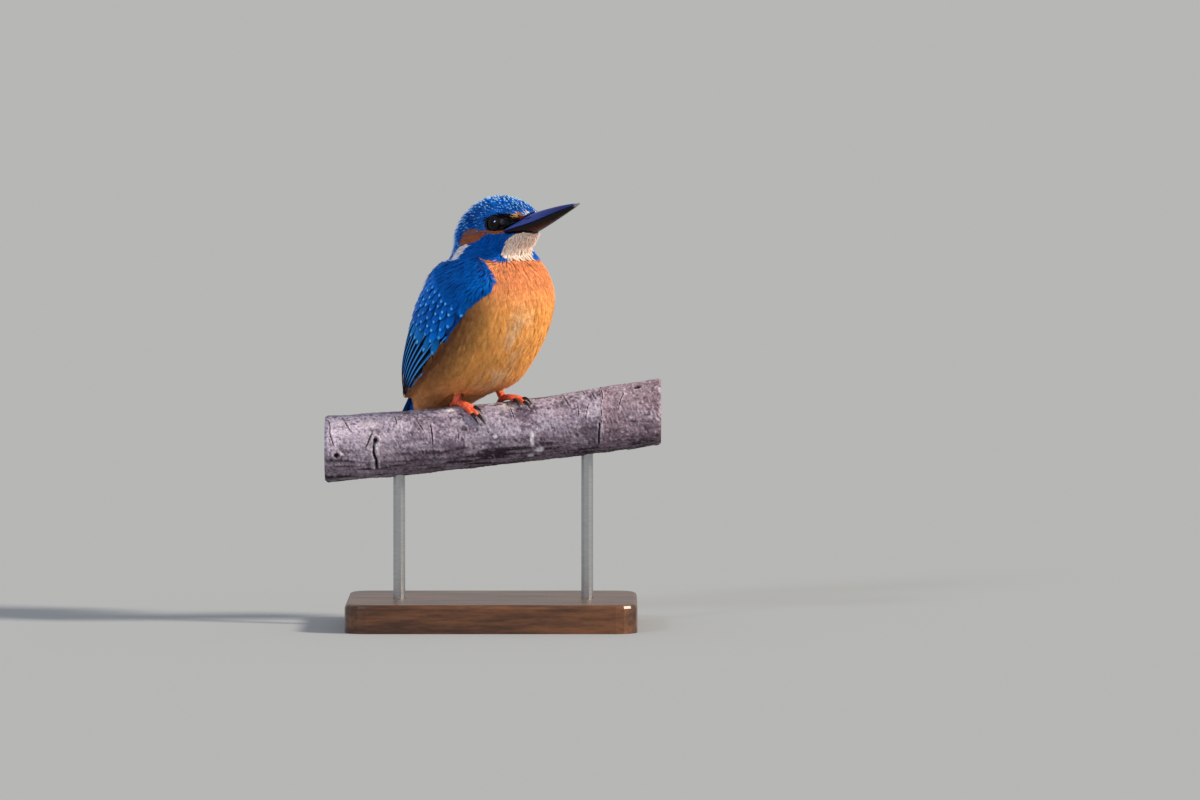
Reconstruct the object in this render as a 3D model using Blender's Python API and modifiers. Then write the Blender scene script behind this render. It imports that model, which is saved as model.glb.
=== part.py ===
"""A common kingfisher on a short cut perch, held over a plain base by two rods. Metres, +Z up.

The bird is modelled whole in its own frame (x forward, y to its left, z up, from the point it grips),
turned on the perch, and then parted with thin cuts. Its tables of stations are in millimetres.
"""

import math

import bmesh
import bpy
import numpy as np
from mathutils import Matrix, Vector
from mathutils.bvhtree import BVHTree

MM = 0.001
GAP = 0.3

# Driving dimensions, in millimetres and degrees.
BODY_YAW = 52.0
HEAD_YAW = 50.0
HEAD_PITCH = 10.5
HEAD_PLACE = (22.6, 0.0, 78.0)
BILL_REACH = 45.0
EYE_RADIUS = 4.0
EYE_SIDE = 8.4
GRIP_HEIGHT = 92.0

PERCH_START = -65.0
PERCH_END = 76.0
PERCH_RADIUS = 13.2
PERCH_SWELL = 0.7
PERCH_AXIS_DROP = 11.6
PERCH_RISE = 0.108
PERCH_BOW = 0.00035

BASE_SIZE = (122.0, 84.0, 12.0)
BASE_CORNER = 9.0
BASE_EDGE = 1.5
BASE_CENTRE = (5.0, 1.0)
ROD_RADIUS = 2.5
ROD_PLACES = (-34.0, 45.0)
ROD_SINK = 8.0

# Trunk, from tail root to throat: (back x, back z, front x, front z, half width, squareness).
TRUNK = (
    (-41.5, -1.5, -38.5, -7.0, 4.0, 2.0),
    (-40.0, 6.0, -29.5, -8.5, 8.5, 2.2),
    (-36.0, 15.0, -12.0, 2.5, 17.0, 2.7),
    (-31.5, 26.0, 8.5, 8.5, 22.0, 2.6),
    (-27.5, 37.0, 20.5, 17.5, 24.4, 2.3),
    (-22.8, 47.3, 32.3, 32.0, 25.2, 2.2),
    (-15.2, 56.2, 37.0, 46.5, 24.6, 2.1),
    (-9.0, 62.0, 34.0, 57.5, 21.0, 2.0),
    (-7.5, 68.0, 28.0, 64.5, 17.0, 2.0),
    (-5.0, 73.0, 24.0, 71.0, 13.0, 2.0),
)

# Head, from nape to bill root, in the skull's frame: (x, top, underside, half width).
HEAD = (
    (-31.5, -3.5, -8.0, 3.0),
    (-28.0, 3.5, -15.0, 9.6),
    (-19.5, 10.0, -18.0, 13.3),
    (-10.0, 12.7, -18.0, 13.8),
    (-1.0, 11.6, -16.0, 12.4),
    (5.0, 8.9, -12.5, 10.2),
    (10.5, 5.5, -8.8, 7.3),
    (15.0, 2.5, -6.2, 4.9),
    (17.0, 0.2, -3.5, 2.5),
)

# Bill, from gape to tip, in the skull's frame: (x, culmen, cutting edge, underside, half width).
BILL = (
    (5.0, -1.9, -4.0, -5.3, 9.9),
    (9.0, 0.4, -3.3, -5.7, 8.0),
    (13.0, 1.7, -2.7, -5.8, 5.9),
    (17.0, 2.2, -2.2, -5.4, 4.4),
    (25.0, 2.4, -1.1, -3.8, 3.1),
    (35.0, 2.2, 0.2, -1.4, 1.9),
    (43.0, 1.6, 1.0, 0.6, 0.7),
)
BILL_TIP = (BILL_REACH, 1.4, 1.3, 1.2, 0.12)

# Folded right wing: its lower and upper edges, from the bend to the tip.
WING_LOWER = (
    (26.0, -12.5, 58.5),
    (27.0, -15.0, 53.5),
    (21.5, -22.0, 45.5),
    (14.0, -25.0, 34.5),
    (5.0, -25.0, 25.5),
    (-5.5, -23.5, 18.0),
    (-18.5, -19.5, 10.5),
    (-33.0, -13.0, 4.0),
)
WING_UPPER = (
    (19.5, -14.0, 64.5),
    (6.5, -13.5, 60.5),
    (-9.0, -9.0, 56.0),
    (-19.0, -8.0, 49.5),
    (-26.5, -8.0, 37.0),
    (-31.5, -8.5, 25.0),
    (-35.5, -9.0, 14.0),
    (-36.5, -9.5, 4.5),
)
# How far the breast feathers cover each wing's bend: rows left out, and share of the width.
WING_TUCK = {"right": (0, 0.0), "left": (3, 0.4)}
WING_THICKNESS = 1.7
WING_LIFT = 0.85
WING_ROWS = 9
SPINE_TAIL = Vector((-30.0, 0.0, 6.0))
SPINE_NECK = Vector((10.0, 0.0, 60.0))

# Tail, from root to end: (x, z, half width, half thickness).
TAIL = (
    (-32.5, 13.0, 5.5, 1.5),
    (-38.5, 0.5, 7.0, 1.4),
    (-45.0, -11.0, 9.5, 1.0),
    (-50.0, -20.0, 10.5, 0.8),
)

# Each foot's joint on the perch (mm along it, degrees round it) and the top of its short leg.
FEET = {
    "right": {"along": -9.8, "round": 2.0, "leg_top": (-4.0, -8.0, 11.5)},
    "left": {"along": 9.4, "round": -16.0, "leg_top": (-2.0, 7.8, 13.5)},
}
FOOT_YAW = 51.0
# Toes: (turn outwards from the foot's line, length, root radius, tip radius).
TOES = (
    (7.0, 11.8, 1.35, 0.95),
    (0.0, 14.0, 1.4, 0.95),
    (-9.0, 9.5, 1.3, 0.9),
    (None, 6.0, 1.4, 0.95),
)
HIND_TOE_YAW = 246.0
LEG_RADIUS = 1.7
CLAW_LENGTH = 4.6
CLAW_RADIUS = 0.8

# Heights of the two cuts that part head, neck and trunk, and how far the cuts lean back.
NECK_TOP = 69.5
NECK_LOW = 61.0
NECK_LEAN = 0.10

BODY_VOXEL = 0.9
BODY_TRIANGLES = 2650
LEG_VOXEL = 0.35
LEG_TRIANGLES = 540
RING = 28
PERCH_SIDES = 24


def turn(degrees, axis):
    return Matrix.Rotation(math.radians(degrees), 4, axis)


BIRD = turn(-BODY_YAW, "Z")
SKULL = BIRD @ Matrix.Translation(HEAD_PLACE) @ turn(BODY_YAW - HEAD_YAW, "Z") @ turn(-HEAD_PITCH, "Y")
PERCH = Matrix.Identity(4)
Y_AXIS = Vector((0, 1, 0))
Z_AXIS = Vector((0, 0, 1))


# Curves, rings and meshes


def smooth_rows(rows, per_span):
    """Catmull-Rom rows between the hand-set ones, so that a few stations give a smooth form."""
    rows = np.array(rows, float)
    padded = np.vstack([2 * rows[0] - rows[1], rows, 2 * rows[-1] - rows[-2]])
    out = []
    for a, b, c, d in zip(padded, padded[1:], padded[2:], padded[3:]):
        for t in np.arange(per_span) / per_span:
            bend = (2 * a - 5 * b + 4 * c - d) * t**2 + (3 * b - a - 3 * c + d) * t**3
            out.append(b + 0.5 * ((c - a) * t + bend))
    out.append(rows[-1])
    return np.array(out)


def power(value, exponent):
    return math.copysign(abs(value) ** exponent, value)


def oval(centre, across, half_across, side, half_side, squareness=2.0, count=RING):
    """One closed ring: a superellipse about centre, along the unit vectors across and side."""
    points = []
    for i in range(count):
        angle = 2 * math.pi * i / count
        u = power(math.cos(angle), 2 / squareness) * half_across
        v = power(math.sin(angle), 2 / squareness) * half_side
        points.append(Vector(centre) + across * u + side * v)
    return points


def loft(rings, matrix, mesh=None):
    """Skins closed rings of millimetre points in order and caps both ends, in metres."""
    mesh = mesh or bmesh.new()
    rows = [[mesh.verts.new(matrix @ point * MM) for point in ring] for ring in rings]
    faces = [mesh.faces.new(rows[0]), mesh.faces.new(rows[-1])]
    for low, high in zip(rows, rows[1:]):
        for i, vert in enumerate(low):
            j = (i + 1) % len(low)
            faces.append(mesh.faces.new((vert, low[j], high[j], high[i])))
    bmesh.ops.recalc_face_normals(mesh, faces=faces)
    return mesh


def tube(points, radii, matrix, mesh=None, count=10):
    """A round tube through the points, flat at both ends."""
    points = [Vector(point) for point in points]
    rings = []
    side = (points[1] - points[0]).orthogonal()
    for i, (point, radius) in enumerate(zip(points, radii)):
        along = (points[min(i + 1, len(points) - 1)] - points[max(i - 1, 0)]).normalized()
        side = (side - along * side.dot(along)).normalized()
        rings.append(oval(point, side, radius, along.cross(side), radius, count=count))
    return loft(rings, matrix, mesh)


def rounded_ends(points, radii):
    """The same tube line with a small ring beyond each end, so that the ends are domed."""
    first = points[0] + (points[0] - points[1]).normalized() * radii[0] * 0.6
    last = points[-1] + (points[-1] - points[-2]).normalized() * radii[-1] * 0.6
    return [first, *points, last], [radii[0] * 0.55, *radii, radii[-1] * 0.55]


# Objects and materials


def material(name, colour, roughness, metallic=0.0):
    made = bpy.data.materials.new(name)
    made.use_nodes = True
    shader = made.node_tree.nodes["Principled BSDF"]
    shader.inputs["Base Color"].default_value = (*colour, 1.0)
    shader.inputs["Roughness"].default_value = roughness
    shader.inputs["Metallic"].default_value = metallic
    made.diffuse_color = (*colour, 1.0)
    return made


def add(mesh, name, finish=None, collection=None):
    """Turns a bmesh or mesh into a named object, shaded smooth up to 40 degrees."""
    if isinstance(mesh, bmesh.types.BMesh):
        data = bpy.data.meshes.new(name)
        mesh.to_mesh(data)
        mesh.free()
    else:
        data = mesh
        data.name = name
    data.shade_smooth()
    data.set_sharp_from_angle(angle=math.radians(40))
    made = bpy.data.objects.new(name, data)
    (collection or PARTS).objects.link(made)
    if finish:
        data.materials.clear()
        data.materials.append(finish)
    if collection == CUTTERS:
        made.hide_render = True
        made.display_type = "WIRE"
    return made


def settle(thing):
    """Applies the object's modifiers to its mesh."""
    graph = bpy.context.evaluated_depsgraph_get()
    mesh = bpy.data.meshes.new_from_object(thing.evaluated_get(graph))
    thing.modifiers.clear()
    thing.data = mesh
    return thing


def triangle_count(thing):
    return sum(len(face.vertices) - 2 for face in thing.data.polygons)


def fuse(thing, voxel, rounds, triangles):
    """Makes overlapping shells one smooth skin of about so many triangles."""
    remesh = thing.modifiers.new("one skin", "REMESH")
    remesh.mode = "VOXEL"
    remesh.voxel_size = voxel * MM
    relax = thing.modifiers.new("relax", "SMOOTH")
    relax.factor = 0.5
    relax.iterations = rounds
    settle(thing)
    thin = thing.modifiers.new("thin", "DECIMATE")
    thin.ratio = triangles / triangle_count(thing)
    return settle(thing)


def cut(thing, cutter):
    """Takes the cutter out of the thing, and keeps the largest piece that is left."""
    boolean = thing.modifiers.new("cut", "BOOLEAN")
    boolean.operation = "DIFFERENCE"
    boolean.object = cutter
    settle(thing)
    mesh = bmesh.new()
    mesh.from_mesh(thing.data)
    drop_crumbs(mesh)
    mesh.to_mesh(thing.data)
    mesh.free()
    return thing


def drop_crumbs(mesh):
    """Removes every loose shell but the largest."""
    left = set(mesh.verts)
    shells = []
    while left:
        shell = {left.pop()}
        edge = list(shell)
        while edge:
            near = {e.other_vert(v) for v in edge for e in v.link_edges} - shell
            shell |= near
            edge = list(near)
        left -= shell
        shells.append(shell)
    shells.sort(key=len)
    for shell in shells[:-1]:
        bmesh.ops.delete(mesh, geom=list(shell), context="VERTS")


def part_at(source, name, planes, finish):
    """A copy of the source cut flat at each plane, keeping the side that its normal points to."""
    mesh = bmesh.new()
    mesh.from_mesh(source.data)
    for point, normal in planes:
        everything = mesh.verts[:] + mesh.edges[:] + mesh.faces[:]
        bmesh.ops.bisect_plane(mesh, geom=everything, plane_co=point, plane_no=normal, clear_inner=True)
        rim = [edge for edge in mesh.edges if edge.is_boundary]
        bmesh.ops.holes_fill(mesh, edges=rim, sides=0)
    drop_crumbs(mesh)
    bmesh.ops.triangulate(mesh, faces=mesh.faces[:])
    bmesh.ops.recalc_face_normals(mesh, faces=mesh.faces[:])
    return add(mesh, name, finish)


# The perch and its stand


def perch_axis(x):
    return -PERCH_AXIS_DROP + PERCH_RISE * x + PERCH_BOW * x * x


def perch_radius(x):
    return PERCH_RADIUS + PERCH_SWELL * ((x - 5.0) / 70.0) ** 2


def on_perch(x, round_degrees, height):
    """A point over the perch: x along it, turned round it from its top towards the viewer's side."""
    angle = math.radians(round_degrees)
    reach = perch_radius(x) + height
    return Vector((x, -reach * math.sin(angle), perch_axis(x) + reach * math.cos(angle)))


def perch_and_stand(bark, wood, steel):
    rings = []
    for x in np.linspace(PERCH_START, PERCH_END, 14):
        rings.append([on_perch(x, 360 * i / PERCH_SIDES, 0) for i in range(PERCH_SIDES)])
    perch = add(loft(rings, PERCH), "perch", bark)

    floor = -GRIP_HEIGHT
    base = bmesh.new()
    bmesh.ops.create_cube(base, size=1.0)
    bmesh.ops.scale(base, vec=Vector(BASE_SIZE) * MM, verts=base.verts)
    upright = [e for e in base.edges if abs((e.verts[0].co - e.verts[1].co).z) > MM]
    bmesh.ops.bevel(
        base, geom=upright, offset=BASE_CORNER * MM, segments=4, profile=0.5, affect="EDGES", material=-1
    )
    top = [e for e in base.edges if min(v.co.z for v in e.verts) > 0 and len(e.link_faces) == 2]
    top = [e for e in top if any(abs(f.normal.z) > 0.9 for f in e.link_faces)]
    bmesh.ops.bevel(
        base, geom=top, offset=BASE_EDGE * MM, segments=2, profile=0.5, affect="EDGES", material=-1
    )
    middle = Vector((*BASE_CENTRE, floor + BASE_SIZE[2] / 2)) * MM
    bmesh.ops.translate(base, vec=middle, verts=base.verts)
    base = add(base, "stand_base", wood)

    for number, x in enumerate(ROD_PLACES, 1):
        low = floor + BASE_SIZE[2] - ROD_SINK
        high = perch_axis(x) - perch_radius(x) + ROD_SINK
        hole = rod(x, low - GAP, high + GAP, ROD_RADIUS + GAP, "hole", None, CUTTERS)
        cut(perch, hole)
        cut(base, hole)
        bpy.data.objects.remove(hole)
        rod(x, low, high, ROD_RADIUS, f"stand_rod_{number}", steel, PARTS)
    return perch


def rod(x, low, high, radius, name, finish, collection):
    mesh = bmesh.new()
    bmesh.ops.create_cone(
        mesh, cap_ends=True, segments=20, radius1=radius * MM, radius2=radius * MM, depth=(high - low) * MM
    )
    bmesh.ops.translate(mesh, vec=Vector((x, 0, (low + high) / 2)) * MM, verts=mesh.verts)
    return add(mesh, name, finish, collection)


# The bird


def trunk_rings(rows):
    rings = []
    for back_x, back_z, front_x, front_z, half_width, squareness in rows:
        back, front = Vector((back_x, 0, back_z)), Vector((front_x, 0, front_z))
        across = (front - back).normalized()
        half = (front - back).length / 2
        rings.append(oval((back + front) / 2, across, half, Y_AXIS, half_width, squareness))
    return rings


def head_rings(rows):
    rings = []
    for x, top, underside, half_width in rows:
        centre = Vector((x, 0, (top + underside) / 2))
        rings.append(oval(centre, Z_AXIS, (top - underside) / 2, Y_AXIS, half_width, 2.15))
    return rings


def tail_rings(rows, margin=0.0):
    rings = []
    run = Vector((rows[-1][0] - rows[0][0], 0, rows[-1][1] - rows[0][1])).normalized()
    upward = Y_AXIS.cross(run)
    for x, z, half_width, half_thick in rows:
        centre = Vector((x, 0, z))
        rings.append(oval(centre, upward, half_thick + margin, Y_AXIS, half_width + margin, 2.8, 16))
    return rings


def half_bill(row, half, lift):
    """Half of one ring of the bill: its upper or lower arch, moved out from the cutting edge by lift."""
    x, culmen, edge, underside, half_width = row
    start, height = (-90, culmen - edge) if half == "upper" else (90, edge - underside)
    sign = 1 if half == "upper" else -1
    arch = []
    for angle in np.radians(start + np.linspace(0, 180, 7)):
        z = edge + math.cos(angle) * height + sign * lift
        arch.append(Vector((x, math.sin(angle) * half_width, z)))
    return arch


def bill_rings(halves, lift, margin=0.0):
    """Rings of one half of the bill, or of both with a margin round them, all drawn to one tip."""
    rows = smooth_rows(BILL, 2)
    rows[0, 0] -= margin
    rings = []
    for row in [*rows, BILL_TIP]:
        row = np.array(row) + (0, 0, 0, 0, margin)
        rings.append([point for half in halves for point in half_bill(row, half, lift + margin)])
    return rings


def even(values, rounds):
    """Averages a grid of numbers with its neighbours."""
    for _ in range(rounds):
        wide = np.pad(values, 1, mode="edge")
        values = (wide[:-2, 1:-1] + wide[2:, 1:-1] + wide[1:-1, :-2] + wide[1:-1, 2:] + 4 * values) / 8
    return values


def wing(body, side, finish):
    """A folded wing: a sheet between its two edges, laid over the body and thickened outwards."""
    lower = smooth_rows(WING_LOWER, 2)
    upper = smooth_rows(WING_UPPER, 2)
    hidden, covered = WING_TUCK[side]
    tuck = covered * np.clip(1 - 2.5 * np.linspace(0, 1, len(lower) - hidden), 0, 1)[:, None]
    upper = upper[hidden:]
    lower = lower[hidden:] * (1 - tuck) + upper * tuck
    spine = SPINE_NECK - SPINE_TAIL
    roots, ways = [], []
    clear = np.zeros((len(lower), WING_ROWS))
    wanted = np.zeros_like(clear)
    for i, j in np.ndindex(clear.shape):
        share = j / (WING_ROWS - 1)
        place = Vector(lower[i] * (1 - share) + upper[i] * share)
        along = min(max((place - SPINE_TAIL).dot(spine) / spine.length_squared, -0.2), 1.1)
        root = SPINE_TAIL + spine * along
        way = (place - root).normalized()
        hit = body.ray_cast(root + way * 60.0, -way)[0]
        clear[i, j] = (hit - root).length + WING_LIFT if hit else 0.0
        wanted[i, j] = max(clear[i, j], (place - root).length)
        roots.append(root)
        ways.append(way)
    reach = np.maximum(even(wanted, 4), clear).ravel()
    mesh = bmesh.new()
    points = [root + way * length for root, way, length in zip(roots, ways, reach)]
    verts = [mesh.verts.new(BIRD @ mirrored(point, side) * MM) for point in points]
    for i, j in np.ndindex(len(lower) - 1, WING_ROWS - 1):
        corner = i * WING_ROWS + j
        mesh.faces.new([verts[corner + step] for step in (0, 1, WING_ROWS + 1, WING_ROWS)])
    faces = mesh.faces[:]
    bmesh.ops.recalc_face_normals(mesh, faces=faces)
    centre = BIRD @ mirrored(SPINE_TAIL + spine * 0.5, side) * MM
    if sum((face.calc_center_median() - centre).dot(face.normal) for face in faces) < 0:
        bmesh.ops.reverse_faces(mesh, faces=faces)
    made = add(mesh, f"wing_{side}", finish)
    thick = made.modifiers.new("feathers", "SOLIDIFY")
    thick.thickness = WING_THICKNESS * MM
    thick.offset = 1.0
    return settle(made)


def mirrored(point, side):
    return Vector((point.x, point.y if side == "right" else -point.y, point.z))


def toe_heading(side, swing):
    if swing is None:
        return math.radians(HIND_TOE_YAW)
    return math.radians(FOOT_YAW + (swing if side == "right" else -swing))


def leg(side, skin, horn):
    """Short leg and four toes as one skin, with a separate claw on each toe."""
    foot = FEET[side]
    along, start = foot["along"], foot["round"]
    joint = on_perch(along, start, 2.1)
    top = BIRD @ Vector(foot["leg_top"])
    flesh = bmesh.new()
    shin = [joint.lerp(top, share) for share in np.linspace(0, 1, 4)]
    tube(*rounded_ends(shin, [LEG_RADIUS] * 4), PERCH, flesh)
    for number, (swing, length, root_radius, tip_radius) in enumerate(TOES, 1):
        heading = toe_heading(side, swing)

        def over_perch(distance, height):
            x = along + distance * math.cos(heading)
            degrees = start + math.degrees(distance * math.sin(heading) / PERCH_RADIUS)
            return on_perch(x, degrees, height)

        shares = np.linspace(0, 1, 7)
        radii = [root_radius + (tip_radius - root_radius) * share for share in shares]
        line = [over_perch(length * share, radius + GAP + 0.1) for share, radius in zip(shares, radii)]
        tube(*rounded_ends(line, radii), PERCH, flesh)
        claw_line, claw_radii = [], []
        for share in np.linspace(0, 1, 6):
            distance = length + tip_radius * 0.6 + GAP + CLAW_LENGTH * share
            arch = 0.55 * math.sin(math.pi * min(share * 1.2, 1.0)) - 1.15 * share**2
            height = tip_radius + 0.75 + arch
            claw_line.append(over_perch(distance, height))
            claw_radii.append(CLAW_RADIUS * (1 - share) ** 0.7 + 0.12)
        add(tube(claw_line, claw_radii, PERCH, count=6), f"claw_{side}_{number}", horn)
    made = fuse(add(flesh, f"leg_{side}", skin), LEG_VOXEL, 2, LEG_TRIANGLES)
    made.data.materials.clear()
    made.data.materials.append(skin)
    return made, shin


def eye_ball(side, radius, name, finish, collection):
    mesh = bmesh.new()
    bmesh.ops.create_uvsphere(mesh, u_segments=16, v_segments=10, radius=radius * MM)
    y = -EYE_SIDE if side == "right" else EYE_SIDE
    bmesh.ops.translate(mesh, vec=SKULL @ Vector((0, y, 0)) * MM, verts=mesh.verts)
    return add(mesh, name, finish, collection)


def bird():
    feathers_blue = material("blue feathers", (0.01, 0.10, 0.40), 0.5)
    feathers_orange = material("orange feathers", (0.72, 0.27, 0.06), 0.7)
    horn = material("bill horn", (0.02, 0.02, 0.035), 0.3)
    claw_horn = material("claw horn", (0.03, 0.02, 0.02), 0.35)
    foot_skin = material("scaled foot skin", (0.75, 0.10, 0.03), 0.5)
    cornea = material("eye", (0.004, 0.003, 0.003), 0.05)

    flesh = loft(trunk_rings(smooth_rows(TRUNK, 3)), BIRD)
    loft(head_rings(smooth_rows(HEAD, 3)), SKULL, flesh)
    whole = fuse(add(flesh, "whole", None, CUTTERS), BODY_VOXEL, 6, BODY_TRIANGLES)

    tail = add(loft(tail_rings(smooth_rows(TAIL, 2)), BIRD), "tail", feathers_blue)

    shell = bmesh.new()
    shell.from_mesh(whole.data)
    shell.from_mesh(tail.data)
    bmesh.ops.transform(shell, matrix=Matrix.Scale(1 / MM, 4) @ BIRD.inverted(), verts=shell.verts)
    bmesh.ops.triangulate(shell, faces=shell.faces[:])
    body = BVHTree.FromBMesh(shell)
    shell.free()
    for side in FEET:
        wing(body, side, feathers_blue)

    neck_top = (BIRD @ Vector((0.0, 0.0, NECK_TOP))) * MM
    neck_low = (BIRD @ Vector((0.0, 0.0, NECK_LOW))) * MM
    rise = (BIRD.to_3x3() @ Vector((-NECK_LEAN, 0, 1.0))).normalized()
    step = rise * GAP * MM
    head = part_at(whole, "head", [(neck_top + step, rise)], feathers_blue)
    part_at(whole, "neck", [(neck_top, -rise), (neck_low + step, rise)], feathers_orange)
    trunk = part_at(whole, "trunk", [(neck_low, -rise)], feathers_orange)
    bpy.data.objects.remove(whole)

    whole_bill = bill_rings(("upper", "lower"), GAP / 2, 1.2 * GAP)
    tools = [add(loft(whole_bill, SKULL), "bill room", None, CUTTERS)]
    for side in FEET:
        tools.append(eye_ball(side, EYE_RADIUS + GAP, "eye room", None, CUTTERS))
        eye_ball(side, EYE_RADIUS, f"eye_{side}", cornea, PARTS)
    for tool in tools:
        cut(head, tool)
    for half in ("upper", "lower"):
        add(loft(bill_rings((half,), GAP / 2), SKULL), f"bill_{half}", horn)

    tail_room = add(loft(tail_rings(smooth_rows(TAIL, 2), GAP), BIRD), "tail room", None, CUTTERS)
    cut(trunk, tail_room)
    tools.append(tail_room)
    for side in FEET:
        shin = leg(side, foot_skin, claw_horn)[1]
        line, radii = rounded_ends(shin, [LEG_RADIUS + GAP + 0.1] * 4)
        room = add(tube(line, radii, PERCH), "leg room", None, CUTTERS)
        cut(trunk, room)
        tools.append(room)
    for tool in tools:
        bpy.data.objects.remove(tool)


def stand_at_origin():
    """Hangs every part on one empty, set so that the middle of the whole thing's foot is the origin."""
    bpy.context.view_layer.update()
    things = list(PARTS.objects)
    corners = np.array([thing.matrix_world @ v.co for thing in things for v in thing.data.vertices])
    low, high = corners.min(axis=0), corners.max(axis=0)
    centre = bpy.data.objects.new("kingfisher_frame", None)
    centre.location = (-(low[0] + high[0]) / 2, -(low[1] + high[1]) / 2, -low[2])
    for thing in things:
        thing.parent = centre
    PARTS.objects.link(centre)
    bpy.context.view_layer.update()


for thing in list(bpy.data.objects):
    bpy.data.objects.remove(thing)
PARTS = bpy.data.collections.new("kingfisher")
CUTTERS = bpy.data.collections.new("cutters")
for collection in (PARTS, CUTTERS):
    bpy.context.scene.collection.children.link(collection)

perch_and_stand(
    material("bark", (0.12, 0.10, 0.11), 0.9),
    material("stained wood", (0.09, 0.045, 0.025), 0.4),
    material("steel rod", (0.5, 0.5, 0.5), 0.3, 1.0),
)
bird()
stand_at_origin()
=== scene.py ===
"""Looks of the kingfisher: one skin, its plumage as solid vanes and barbs, and the finish of every piece.

Shapes are worked out in millimetres in the bird's own frame (x forward, y to its left, z up, from the
point it grips) and put in the row frame when each piece is made. Markings of the head are set in the
skull's frame: x along the bill, y to the left, z up, from midway between the eyes.
"""

import math

import bmesh
import bpy
import numpy as np
from mathutils import Matrix, Vector, kdtree
from mathutils.bvhtree import BVHTree


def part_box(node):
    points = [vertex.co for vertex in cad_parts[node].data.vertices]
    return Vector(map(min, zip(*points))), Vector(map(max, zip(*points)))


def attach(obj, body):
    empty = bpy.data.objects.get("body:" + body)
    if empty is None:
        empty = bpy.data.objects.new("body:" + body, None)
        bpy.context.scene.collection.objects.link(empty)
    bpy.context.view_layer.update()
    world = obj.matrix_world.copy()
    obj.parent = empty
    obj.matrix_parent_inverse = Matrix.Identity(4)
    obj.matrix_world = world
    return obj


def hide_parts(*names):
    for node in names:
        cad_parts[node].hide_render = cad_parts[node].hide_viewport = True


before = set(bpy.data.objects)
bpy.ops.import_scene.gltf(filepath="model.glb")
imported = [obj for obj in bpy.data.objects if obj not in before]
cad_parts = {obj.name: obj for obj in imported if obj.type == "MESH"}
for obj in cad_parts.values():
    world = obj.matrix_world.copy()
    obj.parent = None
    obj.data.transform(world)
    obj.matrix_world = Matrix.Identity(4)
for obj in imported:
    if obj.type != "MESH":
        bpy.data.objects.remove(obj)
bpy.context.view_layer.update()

# Driving values, in millimetres and degrees unless they say otherwise.
MM = 0.001
BODY_YAW = 52.0
HEAD_YAW = 50.0
HEAD_PITCH = 10.5
HEAD_PLACE = (22.6, 0.0, 78.0)
SPINE_TAIL = np.array((-30.0, 0.0, 6.0))
SPINE_NECK = np.array((10.0, 0.0, 60.0))
SIDES = {"right": -1.0, "left": 1.0}

FLESH = ("head", "neck", "trunk", "tail", "wing_right", "wing_left")
LEGS = ("leg_right", "leg_left")

# How finely flesh and legs are remeshed, how near points merge, and how far the flesh nodes swell to fuse,
# a wing's inner face further.
SKIN_VOXEL = 0.64
LEG_VOXEL = 0.22
MERGE = 0.0001
SEAM_CLOSE = 0.22
WING_ROOTING = 2.0

# The coat's depth on wings, tail and the ring round an eye, how far feathers keep from an eye's middle, and
# how far off the coat's ground skin counts as bare.
WING_DEPTH = 0.9
TAIL_DEPTH = 0.45
FACE_DEPTH = 0.2
EYE_CLEAR = 3.5
BARE_GAP = 0.12

# The scutes of the legs: their spacing and height.
LEG_RING = 0.95
RING_HEIGHT = 0.12

# The lids: half length and half height of the opening, where they end on the ball, and their section, as
# (share of the way from the opening to that end, height over the ball).
LID_REACH = 2.9
LID_HEIGHT = 2.2
LID_FOOT = math.radians(82)
LID_CORNERS = 64
LID_PROFILE = (
    (0.0, -0.4), (0.0, 0.06), (0.05, 0.2), (0.2, 0.26), (0.6, 0.26), (1.0, 0.2), (1.0, -0.8), (0.4, -0.6)
)

# The wing: its top along the spine, its width unrolled, and the ways its feathers and the flank's lie.
WING_TOP = 75.0
WING_ARC = 26.0
WING_WAY = np.array((-0.58, 0.0, -0.81))
FLANK_WAY = np.array((-0.3, 0.0, -0.95))

# Its coverts: rows, the steps between and along them, how they slant, and where the flight feathers start.
COVERT_ROWS = 10
COVERT_STEP = 3.7
COVERT_GAP = 2.4
COVERT_SLANT = 11.0
COVERT_END = COVERT_STEP * (COVERT_ROWS - 1) - 3.0

# Long feathers, the steps of their centre-lines, and the tail's middle line, (x, z), with its set back.
FLIGHT_FEATHERS = 18
FLIGHT_STEPS = 14
TAIL_FEATHERS = 12
TAIL_STEPS = 10
TAIL_LINE = np.array(((-32.5, 13.0), (-38.5, 0.5), (-45.0, -11.0), (-50.0, -20.0)))
TAIL_SET_BACK = 1.5

# The perch: its grid round and along, the rings of each sawn face, the spacing of the growth rings, and the
# length of a degree of turn.
BRANCH_AROUND = 236
BRANCH_ALONG = 372
END_RINGS = 14
GROWTH_RING = 1.7
TURN_MM = 0.23

# Sizes of the patterns in the finishes.
SKIN_GRAIN = 0.5
SCUTE = 1.15
TOE_WAY = (math.cos(math.radians(BODY_YAW)), -math.sin(math.radians(BODY_YAW)), -0.35)
HORN_STREAK = 1.2
BARK_FLECK = 0.9
BARK_BLOTCH = 7.0
WALNUT_GRAIN = 5.0
WALNUT_PORE = 0.7
STEEL_RING = 0.4

# The camera: the rise is in degrees, the target in the row frame.
CAMERA_DISTANCE = 3500.0
CAMERA_RISE = 3.0
CAMERA_LENS = 250.0
CAMERA_TARGET = (44.9, 2.88, 95.36)

# Steps of a coat feather's centre-line, and its patch's side on the unwrapped skin, as a share of the whole.
FEATHER_STEPS = 4
PATCH = 0.003

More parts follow.
